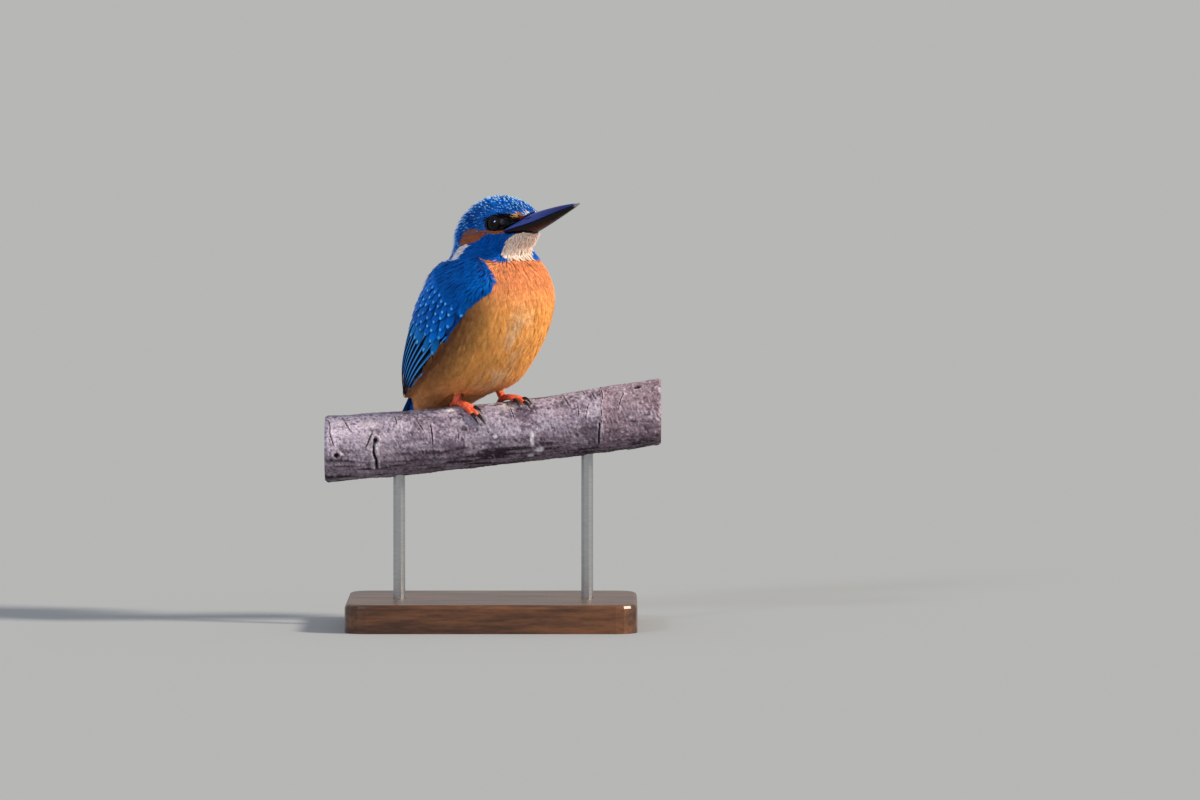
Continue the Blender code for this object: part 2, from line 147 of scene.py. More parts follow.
# The coat's lie: (place, way the feathers lie, depth of the coat, length of a feather), left side.
GUIDES = (
    ((37.0, 2.0, 84.0), (-1.0, 0.0, 0.2), 0.4, 1.9),
    ((30.0, 3.0, 89.0), (-1.0, 0.0, 0.1), 0.8, 2.8),
    ((20.0, 3.0, 92.0), (-1.0, 0.0, -0.1), 0.9, 3.2),
    ((6.0, 4.0, 88.0), (-0.9, 0.0, -0.4), 1.0, 3.4),
    ((-4.0, 3.0, 76.0), (-0.3, 0.0, -1.0), 1.0, 3.6),
    ((-7.0, 4.0, 66.0), (-0.25, 0.0, -1.0), 1.2, 4.2),
    ((22.0, 12.5, 78.0), (-1.0, 0.0, -0.1), 0.35, 1.3),
    ((30.0, 8.0, 78.0), (-1.0, 0.0, -0.1), 0.35, 1.3),
    ((14.0, 14.0, 73.0), (-0.95, 0.0, -0.3), 0.8, 2.8),
    ((22.0, 12.0, 69.0), (-0.8, 0.0, -0.6), 0.8, 3.0),
    ((8.0, 17.0, 65.0), (-0.65, 0.1, -0.75), 1.2, 4.0),
    ((34.0, 3.0, 73.0), (-0.5, 0.0, -0.8), 0.5, 2.0),
    ((28.0, 3.0, 66.0), (-0.1, 0.0, -1.0), 1.2, 3.6),
    ((33.0, 5.0, 57.0), (0.0, 0.0, -1.0), 1.0, 4.2),
    ((37.0, 6.0, 46.0), (0.0, 0.0, -1.0), 1.3, 6.0),
    ((30.0, 10.0, 28.0), (-0.15, 0.0, -1.0), 1.7, 8.0),
    ((14.0, 8.0, 11.0), (-0.8, 0.0, -0.6), 1.9, 8.0),
    ((-2.0, 8.0, 3.0), (-1.0, 0.0, -0.2), 1.7, 7.5),
    ((-20.0, 6.0, -3.0), (-1.0, 0.0, -0.35), 1.5, 7.0),
    ((-34.0, 3.0, -9.0), (-0.6, 0.0, -0.8), 1.0, 5.0),
    ((22.0, 22.0, 45.0), (-0.2, 0.0, -1.0), 1.4, 7.0),
    ((8.0, 24.0, 28.0), (-0.5, 0.0, -0.87), 1.5, 7.5),
    ((-10.0, 20.0, 12.0), (-0.75, 0.0, -0.65), 1.4, 7.5),
    ((-28.0, 10.0, 2.0), (-0.8, 0.0, -0.6), 1.2, 6.0),
    ((5.0, 10.0, 62.0), (-0.6, 0.1, -0.8), 1.4, 4.5),
    ((-9.0, 5.0, 58.0), (-0.5, 0.0, -0.85), 1.4, 5.0),
    ((-24.0, 5.0, 42.0), (-0.4, 0.0, -0.9), 1.4, 6.0),
    ((-32.0, 5.0, 24.0), (-0.3, 0.0, -0.95), 1.2, 6.5),
    ((-38.0, 5.0, 8.0), (-0.3, 0.0, -0.95), 1.0, 7.0),
)

# Kinds of tuft: (barbs, how far they fan out, how thick one is, a seed for each shape).
TUFTS = {
    "crown": (6, 0.62, 0.2, (21, 22, 23)),
    "face": (7, 0.7, 0.15, (1, 2, 3)),
    "lores": (5, 0.7, 0.2, (4, 5)),
    "under": (9, 0.75, 0.13, (11, 12, 13, 14)),
    "back": (9, 0.7, 0.16, (31, 32, 33)),
    "shoulder": (8, 0.66, 0.15, (41, 42, 43)),
    "flank": (9, 0.75, 0.13, (51, 52)),
}

# Places are along the perch from the grip, turns round it from the top towards the near side.
# Cracks: (place, from turn, to turn, half width, depth, lean).
CRACKS = (
    (-44.0, 84.0, 132.0, 0.75, 1.5, 0.6),
    (-45.5, 66.0, 88.0, 0.45, 0.7, -4.0),
    (-26.0, 50.0, 66.0, 0.35, 0.5, 5.0),
    (-21.0, 58.0, 92.0, 0.35, 0.6, 1.5),
    (-36.0, 30.0, 48.0, 0.3, 0.4, 4.0),
    (11.0, 12.0, 60.0, 0.3, 0.5, 3.5),
    (34.5, 16.0, 48.0, 0.4, 0.6, 5.0),
    (43.0, 10.0, 24.0, 0.35, 0.5, 4.0),
    (47.5, 26.0, 44.0, 0.35, 0.5, 2.5),
    (41.0, 54.0, 70.0, 0.3, 0.4, 2.0),
    (45.5, 54.0, 78.0, 0.3, 0.4, -2.0),
    (50.8, -10.0, 92.0, 0.2, 0.3, 0.3),
    (50.4, 92.0, 132.0, 0.6, 1.1, -0.6),
    (60.0, 40.0, 70.0, 0.3, 0.4, -3.0),
    (-58.0, 20.0, 60.0, 0.3, 0.3, 5.0),
    (-64.0, 30.0, 80.0, 0.3, 0.4, 3.0),
    (-8.0, 70.0, 92.0, 0.25, 0.3, -3.0),
)
# Knots: (place, turn, half length, half width, depth).
KNOTS = (
    (-43.6, 78.0, 1.3, 1.4, 0.8),
    (6.0, 24.0, 3.2, 1.0, 0.8),
    (66.0, 30.0, 1.6, 1.3, 0.9),
    (-60.0, 100.0, 1.4, 1.0, 0.6),
    (20.0, 200.0, 2.6, 2.0, 1.0),
)
# Droppings and pale lichen: (place, turn, half length, half width, colour).
STAINS = (
    (-12.0, 24.0, 3.6, 1.4, "#ece6ee"),
    (13.0, 30.0, 6.5, 2.6, "#c8b9bb"),
    (20.0, 20.0, 4.0, 2.0, "#cabcc0"),
    (-46.0, 46.0, 5.0, 2.4, "#c0b4c2"),
    (-43.2, 90.0, 0.9, 1.3, "#c9ccd2"),
    (22.0, 104.0, 0.9, 3.2, "#f2eff5"),
    (25.0, 128.0, 2.2, 1.6, "#eeeaf2"),
    (21.5, 140.0, 1.6, 1.2, "#e6e2ec"),
    (6.5, 92.0, 1.2, 0.9, "#e2dce8"),
    (33.0, 60.0, 4.0, 2.0, "#a89aac"),
)

# Lamps: (name, where it stands, strength, width in degrees, colour, the only pieces it lights, if any).
LAMPS = (
    ("key", (0.95, -0.35, 0.55), 4.2, 9.0, "#fff1dc", ()),
    ("fill", (-0.6, -0.8, 0.5), 0.6, 9.0, "#e8f0ff", ()),
    ("eye light", (-0.5, -0.8, 0.62), 8.0, 14.0, "#86a8ff", ("glass_eye_right", "glass_eye_left")),
)


# Frames


def spin(degrees, axis):
    return Matrix.Rotation(math.radians(degrees), 4, axis)


def middle(node):
    low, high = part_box(node)
    return (low + high) / 2


def moved(points, matrix):
    """The points after the matrix."""
    return points @ np.array(matrix.to_3x3()).T + np.array(matrix.translation)


EYE_LINE = (middle("eye_left") + middle("eye_right")) / 2
EYE_RADIUS = (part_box("eye_left")[1].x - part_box("eye_left")[0].x) / 2 / MM
EYE_SIDE = (middle("eye_left") - middle("eye_right")).length / 2 / MM
GRIP = EYE_LINE - spin(-BODY_YAW, "Z") @ Vector(HEAD_PLACE) * MM
BIRD = Matrix.Translation(GRIP) @ spin(-BODY_YAW, "Z") @ Matrix.Scale(MM, 4)
PERCH = BIRD @ spin(BODY_YAW, "Z")
SKULL = Matrix.Translation(HEAD_PLACE) @ spin(BODY_YAW - HEAD_YAW, "Z") @ spin(-HEAD_PITCH, "Y")
TO_SKULL = SKULL.inverted()
SPINE = SPINE_NECK - SPINE_TAIL
SPINE_WAY = SPINE / np.linalg.norm(SPINE)
SPINE_BACK = np.array((-SPINE_WAY[2], 0.0, SPINE_WAY[0]))


def unit(vectors):
    return vectors / np.maximum(np.linalg.norm(vectors, axis=-1, keepdims=True), 1e-9)


def spine_chart(points):
    """How far along the spine from the tail's root, and the angle from the back."""
    from_tail = points - SPINE_TAIL
    angle = np.arctan2(points[:, 1], from_tail @ SPINE_BACK)
    return from_tail @ SPINE_WAY, np.degrees(angle)


# Colour and chance


def linear(code):
    """An sRGB hex colour as linear red, green and blue."""
    parts = [int(code[i : i + 2], 16) / 255 for i in (1, 3, 5)]
    return np.array([part / 12.92 if part <= 0.04045 else ((part + 0.055) / 1.055) ** 2.4 for part in parts])


def cloud(points, size, seed):
    """Smooth noise from 0 to 1 over the points, in blobs of about that size."""
    place = points / size + seed * 17.3
    cell = np.floor(place).astype(np.int64)
    part = place - cell
    part = part * part * (3 - 2 * part)
    total = np.zeros(len(points))
    for corner in np.ndindex(2, 2, 2):
        weight = np.prod(np.where(corner, part, 1 - part), axis=1)
        key = (cell + corner) @ np.array((73856093, 19349663, 83492791)) + seed * 7919
        key = (key ^ (key >> 13)) * 1274126177
        total += weight * ((key ^ (key >> 16)) & 0xFFFF) / 0xFFFF
    return total


def mix(first, second, share):
    """Colours that go from the first to the second, one for each share."""
    share = np.clip(share, 0, 1)[:, None]
    return first * (1 - share) + second * share


def step(value, low, high):
    """Rises smoothly from 0 at low to 1 at high."""
    share = np.clip((value - low) / (high - low), 0, 1)
    return share * share * (3 - 2 * share)


PLUMAGE = {
    "deep blue": "#004cb0",
    "mid blue": "#0073de",
    "turquoise": "#0f74c8",
    "azure": "#008fe0",
    "pale azure": "#3fbff5",
    "spot": "#6ac6ff",
    # A painted glint, near white, on the crown's bars at the top and front of the head.
    "crown glint": "#d3eeff",
    "edge": "#3c9df8",
    "tail blue": "#2a4f9c",
    "flight black": "#070a1a",
    "black": "#050509",
    # A painted glint, pale grey-pink, on the black lores just in front of the eye.
    "eye corner glint": "#6b6078",
    "rufous": "#a5603e",
    # Painted shade on the upper part of the ear coverts, mauve and darker.
    "painted ear shade": "#8f6360",
    "gold": "#b98348",
    "breast": "#ee9a66",
    "orange": "#fdb361",
    "belly": "#ec9d5a",
    "pale": "#f2c596",
    # Painted shade for the sides of the breast beside the wings.
    "brown": "#56322a",
    "red": "#a3241c",
    "cream": "#fdeadd",
    "white": "#f0ecf6",
}
PLUMAGE = {name: linear(code) for name, code in PLUMAGE.items()}
# The lighter foot colour is a painted highlight, laid over the bare feet in random blotches.
BARE = {"lid": "#070405", "foot": "#e24a2c", "toe": "#ff8661", "claw": "#231d1e"}
BARE = {name: linear(code) for name, code in BARE.items()}
# The upper half's blue is a painted sheen of reflected sky, strongest at the base; the lower half's maroon is
# its own.
BILL = {"upper": (linear("#3c4f9f"), linear("#27327a")), "lower": (linear("#13070e"), linear("#07050a"))}
# A painted highlight at the bill's very tip.
BILL_TIP_GLINT = linear("#c9c2c8")
NOSTRIL = linear("#07060c")
BARK = {
    "dark": "#74687a",
    "light": "#9a8ca1",
    "pale plate": "#aea4b8",
    "dark plate": "#63556a",
    # Painted light: a lighter colour over the end of the branch at negative x.
    "painted lit end": "#cdc0d6",
    "brown end": "#937a84",
    # Painted shade on the lower side of the branch.
    "underside shade": "#6b5a66",
    "strata": "#372b32",
    # A painted highlight on the bark's raised ridges.
    "ridge": "#d2c7d6",
    # Painted shade in the bark's recesses: furrows, pits, cracks and knot holes.
    "furrow": "#3a3040",
    "pit": "#2b2228",
    "crack": "#171210",
    "crack rim": "#bfb3c0",
    "knot": "#14100f",
    "knot rim": "#c0b2bb",
    "sawn light": "#b59070",
    "sawn dark": "#85634a",
    "sawn rim": "#4a3a36",
    "pith": "#5d4638",
}
BARK = {name: linear(code) for name, code in BARK.items()}


# Meshes


def cad_copy(name):
    """A merged copy of a CAD node, in the bird's millimetres."""
    made = bmesh.new()
    made.from_mesh(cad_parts[name].data)
    bmesh.ops.transform(made, matrix=BIRD.inverted(), verts=made.verts)
    bmesh.ops.remove_doubles(made, verts=made.verts, dist=0.002)
    made.normal_update()
    return made


def mesh_from(made, name):
    data = bpy.data.meshes.new(name)
    made.to_mesh(data)
    made.free()
    return data


def array_of(items, field, width, kind=np.float32):
    flat = np.empty(len(items) * width, kind)
    items.foreach_get(field, flat)
    return flat.reshape(-1, width)


def points_of(data):
    return array_of(data.vertices, "co", 3).astype(float)


def normals_of(data):
    return array_of(data.vertices, "normal", 3).astype(float)


def edges_of(data):
    return array_of(data.edges, "vertices", 2, np.int32)


def set_points(data, points):
    """Moves the mesh's points, and works its normals out again."""
    data.vertices.foreach_set("co", points.astype(np.float32).ravel())
    data.update()


def even(values, edges, rounds):
    """Averages each point's values with its neighbours'."""
    values = values.copy()
    count = np.bincount(edges.ravel(), minlength=len(values))[:, None] + 1.0
    for _ in range(rounds):
        total = values.copy()
        np.add.at(total, edges[:, 0], values[edges[:, 1]])
        np.add.at(total, edges[:, 1], values[edges[:, 0]])
        values = total / count
    return values


def evaluated(holder):
    """The object's mesh with its modifiers applied."""
    graph = bpy.context.evaluated_depsgraph_get()
    return bpy.data.meshes.new_from_object(holder.evaluated_get(graph))


def with_modifier(data, kind, **settings):
    """The mesh after one modifier."""
    holder = bpy.data.objects.new("holder", data)
    bpy.context.scene.collection.objects.link(holder)
    modifier = holder.modifiers.new(kind, kind)
    for key, value in settings.items():
        setattr(modifier, key, value)
    made = evaluated(holder)
    bpy.data.objects.remove(holder)
    return made


def united(meshes):
    """One closed mesh of several that overlap."""
    holders = [bpy.data.objects.new("union", data) for data in meshes]
    group = bpy.data.collections.new("unions")
    bpy.context.scene.collection.children.link(group)
    for holder in holders:
        group.objects.link(holder)
    for other in holders[1:]:
        modifier = holders[0].modifiers.new("join", "BOOLEAN")
        modifier.operation = "UNION"
        modifier.solver = "MANIFOLD"
        modifier.object = other
    made = evaluated(holders[0])
    for holder in holders:
        bpy.data.objects.remove(holder)
    bpy.data.collections.remove(group)
    return made


def mesh_of(points, faces):
    """A mesh of joined feathers, from their points and triangles."""
    data = bpy.data.meshes.new("feathers")
    data.vertices.add(len(points))
    data.vertices.foreach_set("co", points.astype(np.float32).ravel())
    data.loops.add(faces.size)
    data.loops.foreach_set("vertex_index", faces.astype(np.int32).ravel())
    data.polygons.add(len(faces))
    data.polygons.foreach_set("loop_start", np.arange(len(faces), dtype=np.int32) * 3)
    data.update(calc_edges=True)
    return data


def colour_layer(data, name, colours):
    """Sets a colour at each point, and its strength where a fourth column gives one."""
    layer = data.attributes.new(name, "FLOAT_COLOR", "POINT")
    full = np.ones((len(data.vertices), 4), np.float32)
    full[:, : colours.shape[-1]] = colours
    layer.data.foreach_set("color", full.ravel())


def vector_layer(data, name, vectors):
    layer = data.attributes.new(name, "FLOAT_VECTOR", "POINT")
    layer.data.foreach_set("vector", vectors.astype(np.float32).ravel())


def piece(data, name, finish, nodes=(), sharp=45.0, place=BIRD):
    """Makes a finished piece of a mesh in the bird's millimetres: placed, shaded, riding on the model."""
    data.transform(place)
    data.name = name
    data.shade_smooth()
    data.set_sharp_from_angle(angle=math.radians(sharp))
    data.materials.clear()
    data.materials.append(FINISHES[finish])
    made = bpy.data.objects.new(name, data)
    bpy.context.scene.collection.objects.link(made)
    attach(made, "root")
    if nodes:
        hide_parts(*nodes)


# Finishes

SMOOTH = {"interpolation_type": "SMOOTHSTEP"}


def put(tree, kind, inputs, **settings):
    """Adds a shader node with its settings, each input a value or another node's output: its outputs."""
    node = tree.nodes.new("ShaderNode" + kind)
    for key, value in settings.items():
        setattr(node, key, value)
    for key, value in inputs.items():
        if isinstance(value, bpy.types.NodeSocket):
            tree.links.new(value, node.inputs[key])
        else:
            node.inputs[key].default_value = value
    return node.outputs


def new_material(name, **values):
    """A material whose Principled shader takes these values: (material, its tree)."""
    made = bpy.data.materials.new(name)
    made.use_nodes = True
    for key, value in values.items():
        made.node_tree.nodes["Principled BSDF"].inputs[key.replace("_", " ")].default_value = value
    return made, made.node_tree


def finished(tree, colour, gains, relief, strength, depth, shows=()):
    """Gives the shader its colour and its relief.

    The colour is scaled by each gain, (value, low, high, gain at low, gain at high). With shows, the piece's
    marks are laid over it where every (value, low, high) has passed from low to high.
    """
    for value, low, high, first, last in gains:
        ends = {"Value": value, "From Min": low, "From Max": high, "To Min": first, "To Max": last}
        gain = put(tree, "MapRange", ends, **SMOOTH)[0]
        colour = put(tree, "VectorMath", {0: colour, "Scale": gain}, operation="SCALE")[0]
    if shows:
        mark = put(tree, "Attribute", {}, attribute_name="mark")
        share = mark["Alpha"]
        for value, low, high in shows:
            part = put(tree, "MapRange", {"Value": value, "From Min": low, "From Max": high}, **SMOOTH)[0]
            share = put(tree, "Math", {0: share, 1: part}, operation="MULTIPLY")[0]
        colour = put(tree, "Mix", {0: share, 6: colour, 7: mark["Color"]}, data_type="RGBA")[2]
    bump = put(tree, "Bump", {"Strength": strength, "Distance": depth * MM, "Height": relief})
    shader = tree.nodes["Principled BSDF"]
    tree.links.new(colour, shader.inputs["Base Color"])
    tree.links.new(bump[0], shader.inputs["Normal"])


def feather_finish(name, roughness, sheen, gloss, barbs, spot=None, edge=False, root=0.5):
    """Keratin vanes, matt and a little silky: painted darker at the root as shade where they overlap, and
    barb lines slanting off the shaft.

    The lines are bundles of barbs, coarser than real ones so that they show. Marked feathers have a spot, or
    one bright edge.
    """
    made, tree = new_material(
        name, Roughness=roughness, Sheen_Weight=sheen, Sheen_Roughness=0.4, Specular_IOR_Level=gloss
    )
    vane = put(tree, "Attribute", {}, attribute_name="vane")["Vector"]
    tint = put(tree, "Attribute", {}, attribute_name="tint")["Color"]
    across, along, own = put(tree, "SeparateXYZ", {"Vector": vane})
    width = put(tree, "Math", {0: across}, operation="ABSOLUTE")[0]
    bend = put(tree, "Math", {0: width, 1: 0.3}, operation="MULTIPLY")[0]
    slant = put(tree, "Math", {0: along, 1: bend}, operation="SUBTRACT")[0]
    waves = put(tree, "Math", {0: slant, 1: barbs}, operation="MULTIPLY")[0]
    waves = put(tree, "Math", {0: waves}, operation="SINE")[0]
    lines = put(tree, "MapRange", {"Value": waves, "From Min": -1.0}, **SMOOTH)[0]
    # The first gain is painted shade at the root: root at the quill, full colour from 0.7 of the length.
    gains = ((along, 0.0, 0.7, root, 1.0), (own, 0.0, 1.0, 0.85, 1.14), (lines, 0.0, 1.0, 0.86, 1.08))
    shows = ()
    if spot:
        place = put(tree, "CombineXYZ", {0: along, 1: width})[0]
        place = put(tree, "VectorMath", {0: place, 1: (spot[0], 0.0, 0.0)}, operation="SUBTRACT")[0]
        place = put(tree, "VectorMath", {0: place, 1: (spot[1], spot[2], 1.0)}, operation="DIVIDE")[0]
        off = put(tree, "VectorMath", {0: place}, operation="LENGTH")["Value"]
        shows = ((off, 1.15, 0.8),)
    if edge:
        shows = ((across, 0.3, 0.6), (along, 0.92, 0.66))
    finished(tree, tint, gains, lines, 0.3, 0.06, shows)
    return made


def skin_finish():
    """Painted resin skin, matt and a little waxy where it is bare, with scutes ringing the feet."""
    made, tree = new_material("skin and scutes, painted resin", Roughness=0.55, Specular_IOR_Level=0.2)
    tint = put(tree, "Attribute", {}, attribute_name="tint")["Color"]
    place = put(tree, "TexCoord", {})["Object"]
    noise = {"Vector": place, "Scale": 1 / (SKIN_GRAIN * MM), "Detail": 4.0, "Roughness": 0.55}
    grain = put(tree, "TexNoise", noise)["Fac"]
    waves = put(tree, "VectorMath", {0: place, 1: TOE_WAY}, operation="DOT_PRODUCT")["Value"]
    waves = put(tree, "Math", {0: waves, 1: 2 * math.pi / (SCUTE * MM)}, operation="MULTIPLY")[0]
    waves = put(tree, "Math", {0: waves}, operation="SINE")[0]
    scutes = put(tree, "MapRange", {"Value": waves, "From Min": -1.0}, **SMOOTH)[0]
    scutes = put(tree, "Math", {0: scutes, 1: 0.4}, operation="POWER")[0]
    # The scutes stand out where the skin is bare and orange red, not under the coat.
    bare = put(tree, "SeparateColor", {"Color": tint})["Red"]
    gains = ((grain, 0.3, 0.7, 0.85, 1.1), (scutes, 0.2, 0.8, 0.78, 1.0))
    relief = put(tree, "Math", {0: scutes, 1: bare}, operation="MULTIPLY")[0]
    relief = put(tree, "Math", {0: grain, 1: 0.2, 2: relief}, operation="MULTIPLY_ADD")[0]
    finished(tree, tint, gains, relief, 0.6, 0.25)
    return made


def eye_finish():
    """Blown glass: a black pupil in a dark brown ring, polished so that a lamp is one small, sharp glint."""
    made, tree = new_material("glass eye", Roughness=0.05, Specular_IOR_Level=0.17)
    gaze = put(tree, "Attribute", {}, attribute_name="gaze")["Vector"]
    off = put(tree, "VectorMath", {0: gaze}, operation="LENGTH")["Value"]
    colour = (*linear("#010101"), 1)
    for ring, low, high in (("#0c0504", 0.36, 0.44), ("#030203", 0.58, 0.7)):
        share = put(tree, "MapRange", {"Value": off, "From Min": low, "From Max": high}, **SMOOTH)[0]
        colour = put(tree, "Mix", {0: share, 6: colour, 7: (*linear(ring), 1)}, data_type="RGBA")[2]
    tree.links.new(colour, tree.nodes["Principled BSDF"].inputs["Base Color"])
    return made


def horn_finish(name, roughness, coat):
    """Polished keratin: lengthwise growth streaks, worn smooth, under a thin clear gloss."""
    made, tree = new_material(
        name, Roughness=roughness, Coat_Weight=coat, Coat_Roughness=0.2, Specular_IOR_Level=0.17
    )
    tint = put(tree, "Attribute", {}, attribute_name="tint")["Color"]
    place = put(tree, "TexCoord", {})["Object"]
    place = put(tree, "VectorMath", {0: place, 1: (1.0, 1.0, 3.0)}, operation="MULTIPLY")[0]
    noise = {"Vector": place, "Scale": 1 / (HORN_STREAK * MM), "Detail": 4.0, "Roughness": 0.55}
    streak = put(tree, "TexNoise", noise)["Fac"]
    finished(tree, tint, ((streak, 0.3, 0.7, 0.8, 1.2),), streak, 0.15, 0.05)
    return made


def bark_finish():
    """Weathered bark, dry and dusty: grime and lichen in blotches, and in flecks finer than its cracks."""
    made, tree = new_material("weathered bark wood", Roughness=0.85, Specular_IOR_Level=0.2)
    tint = put(tree, "Attribute", {}, attribute_name="tint")["Color"]
    place = put(tree, "TexCoord", {})["Object"]
    noise = {"Vector": place, "Scale": 1 / (BARK_FLECK * MM), "Detail": 6.0, "Roughness": 0.7}
    fleck = put(tree, "TexNoise", noise)["Fac"]
    noise = {"Vector": place, "Scale": 1 / (BARK_BLOTCH * MM), "Detail": 4.0, "Roughness": 0.55}
    blotch = put(tree, "TexNoise", noise)["Fac"]
    gains = ((fleck, 0.3, 0.68, 0.55, 1.3), (blotch, 0.3, 0.7, 0.88, 1.1))
    finished(tree, tint, gains, fleck, 0.6, 0.35)
    return made


def walnut_finish():
    """Oiled walnut: long dark grain, short open pores and a low satin gloss. Pores are drawn 0.7 mm wide."""
    made, tree = new_material(
        "oiled walnut wood", Roughness=0.38, Coat_Weight=0.25, Coat_Roughness=0.25, Specular_IOR_Level=0.4
    )
    place = put(tree, "TexCoord", {})["Object"]
    place = put(tree, "VectorMath", {0: place, 1: (0.12, 1.0, 1.0)}, operation="MULTIPLY")[0]
    noise = {"Vector": place, "Scale": 1 / (WALNUT_GRAIN * MM), "Detail": 6.0, "Roughness": 0.6}
    grain = put(tree, "TexNoise", noise)["Fac"]
    noise = {"Vector": place, "Scale": 1 / (WALNUT_PORE * MM), "Detail": 3.0, "Roughness": 0.55}
    pores = put(tree, "TexNoise", noise)["Fac"]
    share = put(tree, "MapRange", {"Value": grain, "From Min": 0.35, "From Max": 0.65}, **SMOOTH)[0]
    ends = {0: share, 6: (*linear("#3a2115"), 1), 7: (*linear("#6d452b"), 1)}
    colour = put(tree, "Mix", ends, data_type="RGBA")[2]
    finished(tree, colour, ((pores, 0.3, 0.6, 0.75, 1.05),), pores, 0.2, 0.1)
    return made


def steel_finish():
    """Brushed stainless rod: fine rings round it from polishing, drawn 0.4 mm wide, and a soft shine."""
    made, tree = new_material("brushed stainless steel", Metallic=1.0, Roughness=0.32)
    place = put(tree, "TexCoord", {})["Object"]
    place = put(tree, "VectorMath", {0: place, 1: (0.1, 0.1, 1.0)}, operation="MULTIPLY")[0]
    noise = {"Vector": place, "Scale": 1 / (STEEL_RING * MM), "Detail": 2.0, "Roughness": 0.55}
    rings = put(tree, "TexNoise", noise)["Fac"]
    finished(tree, tuple(linear("#b9bbbd")), ((rings, 0.3, 0.7, 0.9, 1.05),), rings, 0.1, 0.03)
    return made


# A crown feather's bar and a covert's spot: (place along it, half length, half width).
BAR = (0.8, 0.24, 0.8)
SPOT = (0.86, 0.085, 0.34)
# A feather finish is given as (name, roughness, sheen, gloss, radians of barb waves along the feather).
# root is the colour a feather keeps at its root, under its painted shade.
FINISHES = {
    "skin": skin_finish(),
    "barred blue": feather_finish("barred blue feather keratin", 0.55, 0.0, 0.05, 9.0, spot=BAR),
    "spotted blue": feather_finish("spotted blue feather keratin", 0.5, 0.0, 0.05, 60.0, spot=SPOT),
    "edged flight": feather_finish("dark flight feather keratin", 0.55, 0.0, 0.04, 220.0, edge=True),
    "edged tail": feather_finish("blue tail feather keratin", 0.5, 0.0, 0.05, 160.0, edge=True),
    "soft blue": feather_finish("soft blue feather barbs", 0.55, 0.0, 0.05, 8.0, root=0.6),
    "soft orange": feather_finish("soft orange feather barbs", 0.8, 0.12, 0.1, 8.0, root=0.88),
    "soft white": feather_finish("soft white feather barbs", 0.8, 0.1, 0.1, 8.0, root=0.85),
    "soft black": feather_finish("soft black feather barbs", 0.7, 0.0, 0.03, 8.0),
    "eye": eye_finish(),
    "bill": horn_finish("polished bill keratin horn", 0.42, 0.08),
    "claw": horn_finish("claw keratin horn", 0.35, 0.2),
    "bark": bark_finish(),
    "walnut": walnut_finish(),
    "steel": steel_finish(),
}


# Markings: outlines seen from the side, (x, z) in the skull's frame

EAR = (
    (-10.6, 0.3), (-6.5, -1.0), (-2.6, -2.2), (-2.4, -3.4), (-5.8, -4.9), (-10.3, -6.4), (-13.0, -6.2),
    (-18.0, -4.4), (-17.0, -2.4), (-15.5, -0.8)
)
EYE_LINE_LOW = ((-3.0, -2.0), (-2.0, -3.6), (2.0, -4.4), (5.8, -4.6), (5.8, -3.4), (2.0, -3.3), (-1.0, -2.6))
NECK_PATCH = ((-15.3, -5.2), (-11.8, -6.2), (-13.2, -9.8), (-16.5, -12.8), (-20.8, -11.6), (-19.4, -7.6))
MALAR = (
    (8.0, -4.0), (3.0, -4.2), (-2.7, -3.2), (-5.8, -4.9), (-10.2, -6.6), (-12.9, -9.6), (-16.2, -12.2),
    (-18.0, -14.4), (-14.0, -14.2), (-9.0, -13.6), (-4.5, -13.8), (-2.2, -13.4), (0.2, -10.6), (2.4, -9.0),
    (3.8, -8.2), (5.6, -6.9), (9.2, -5.6), (11.3, -5.0)
)
LORES = (
    (-3.4, 0.8), (-2.8, 2.9), (1.8, 3.7), (5.9, 3.4), (8.9, 2.4), (12.8, 1.5), (15.0, 0.2), (13.0, -1.6),
    (9.2, -3.0), (6.2, -3.8), (2.8, -3.9), (-1.5, -3.2), (-3.2, -1.4)
)
LORAL_SPOT = ((8.7, 1.7), (9.7, 2.9), (11.4, 2.6), (12.4, 1.5), (11.6, 0.8), (9.7, 0.9))
BILL_SPOT = ((12.6, 0.9), (15.4, 1.4), (15.4, -0.2), (12.6, -0.2))
FOREHEAD_SPOT = ((13.0, 1.6), (13.0, 4.2), (14.2, 4.2), (14.2, 1.6))
CAP = (
    (14.8, 0.6), (8.9, 2.4), (5.9, 3.4), (1.8, 3.7), (-2.8, 2.9), (-3.4, 0.5), (-2.8, -2.2), (-6.5, -1.0),
    (-10.6, 0.3), (-15.5, -0.8), (-17.5, -3.0), (-18.5, -5.0), (-19.4, -7.6), (-20.8, -11.6), (-18.0, -14.4),
    (-12.0, -15.0), (-12.0, -19.0), (-60.0, -30.0), (-60.0, 40.0), (40.0, 40.0)
)
# Height of the throat's foot in the bird's frame, how it falls to the sides, and how ragged a border is.
THROAT_FOOT = 63.8
THROAT_FALL = 0.004
RAGGED = 0.5
KINDS = ("cap", "lores", "ear", "malar", "patch", "throat", "under", "back", "red")
KIND = {name: index for index, name in enumerate(KINDS)}


def beyond(outline, across, up):
    """How far each point lies outside the outline; inside it is negative."""
    corners = np.array(outline, float)
    flat = np.stack((across, up), axis=1)
    nearest = np.full(len(flat), 1e9)
    inside = np.zeros(len(flat), bool)
    for start, end in zip(corners, np.roll(corners, -1, axis=0)):
        edge = end - start
        share = np.clip((flat - start) @ edge / (edge @ edge), 0, 1)
        nearest = np.minimum(nearest, np.linalg.norm(flat - start - share[:, None] * edge, axis=1))
        crosses = (start[1] > flat[:, 1]) != (end[1] > flat[:, 1])
        rise = edge[1] if edge[1] else 1e-9
        inside ^= crosses & (flat[:, 0] < start[0] + (flat[:, 1] - start[1]) / rise * edge[0])
    return np.where(inside, -nearest, nearest)


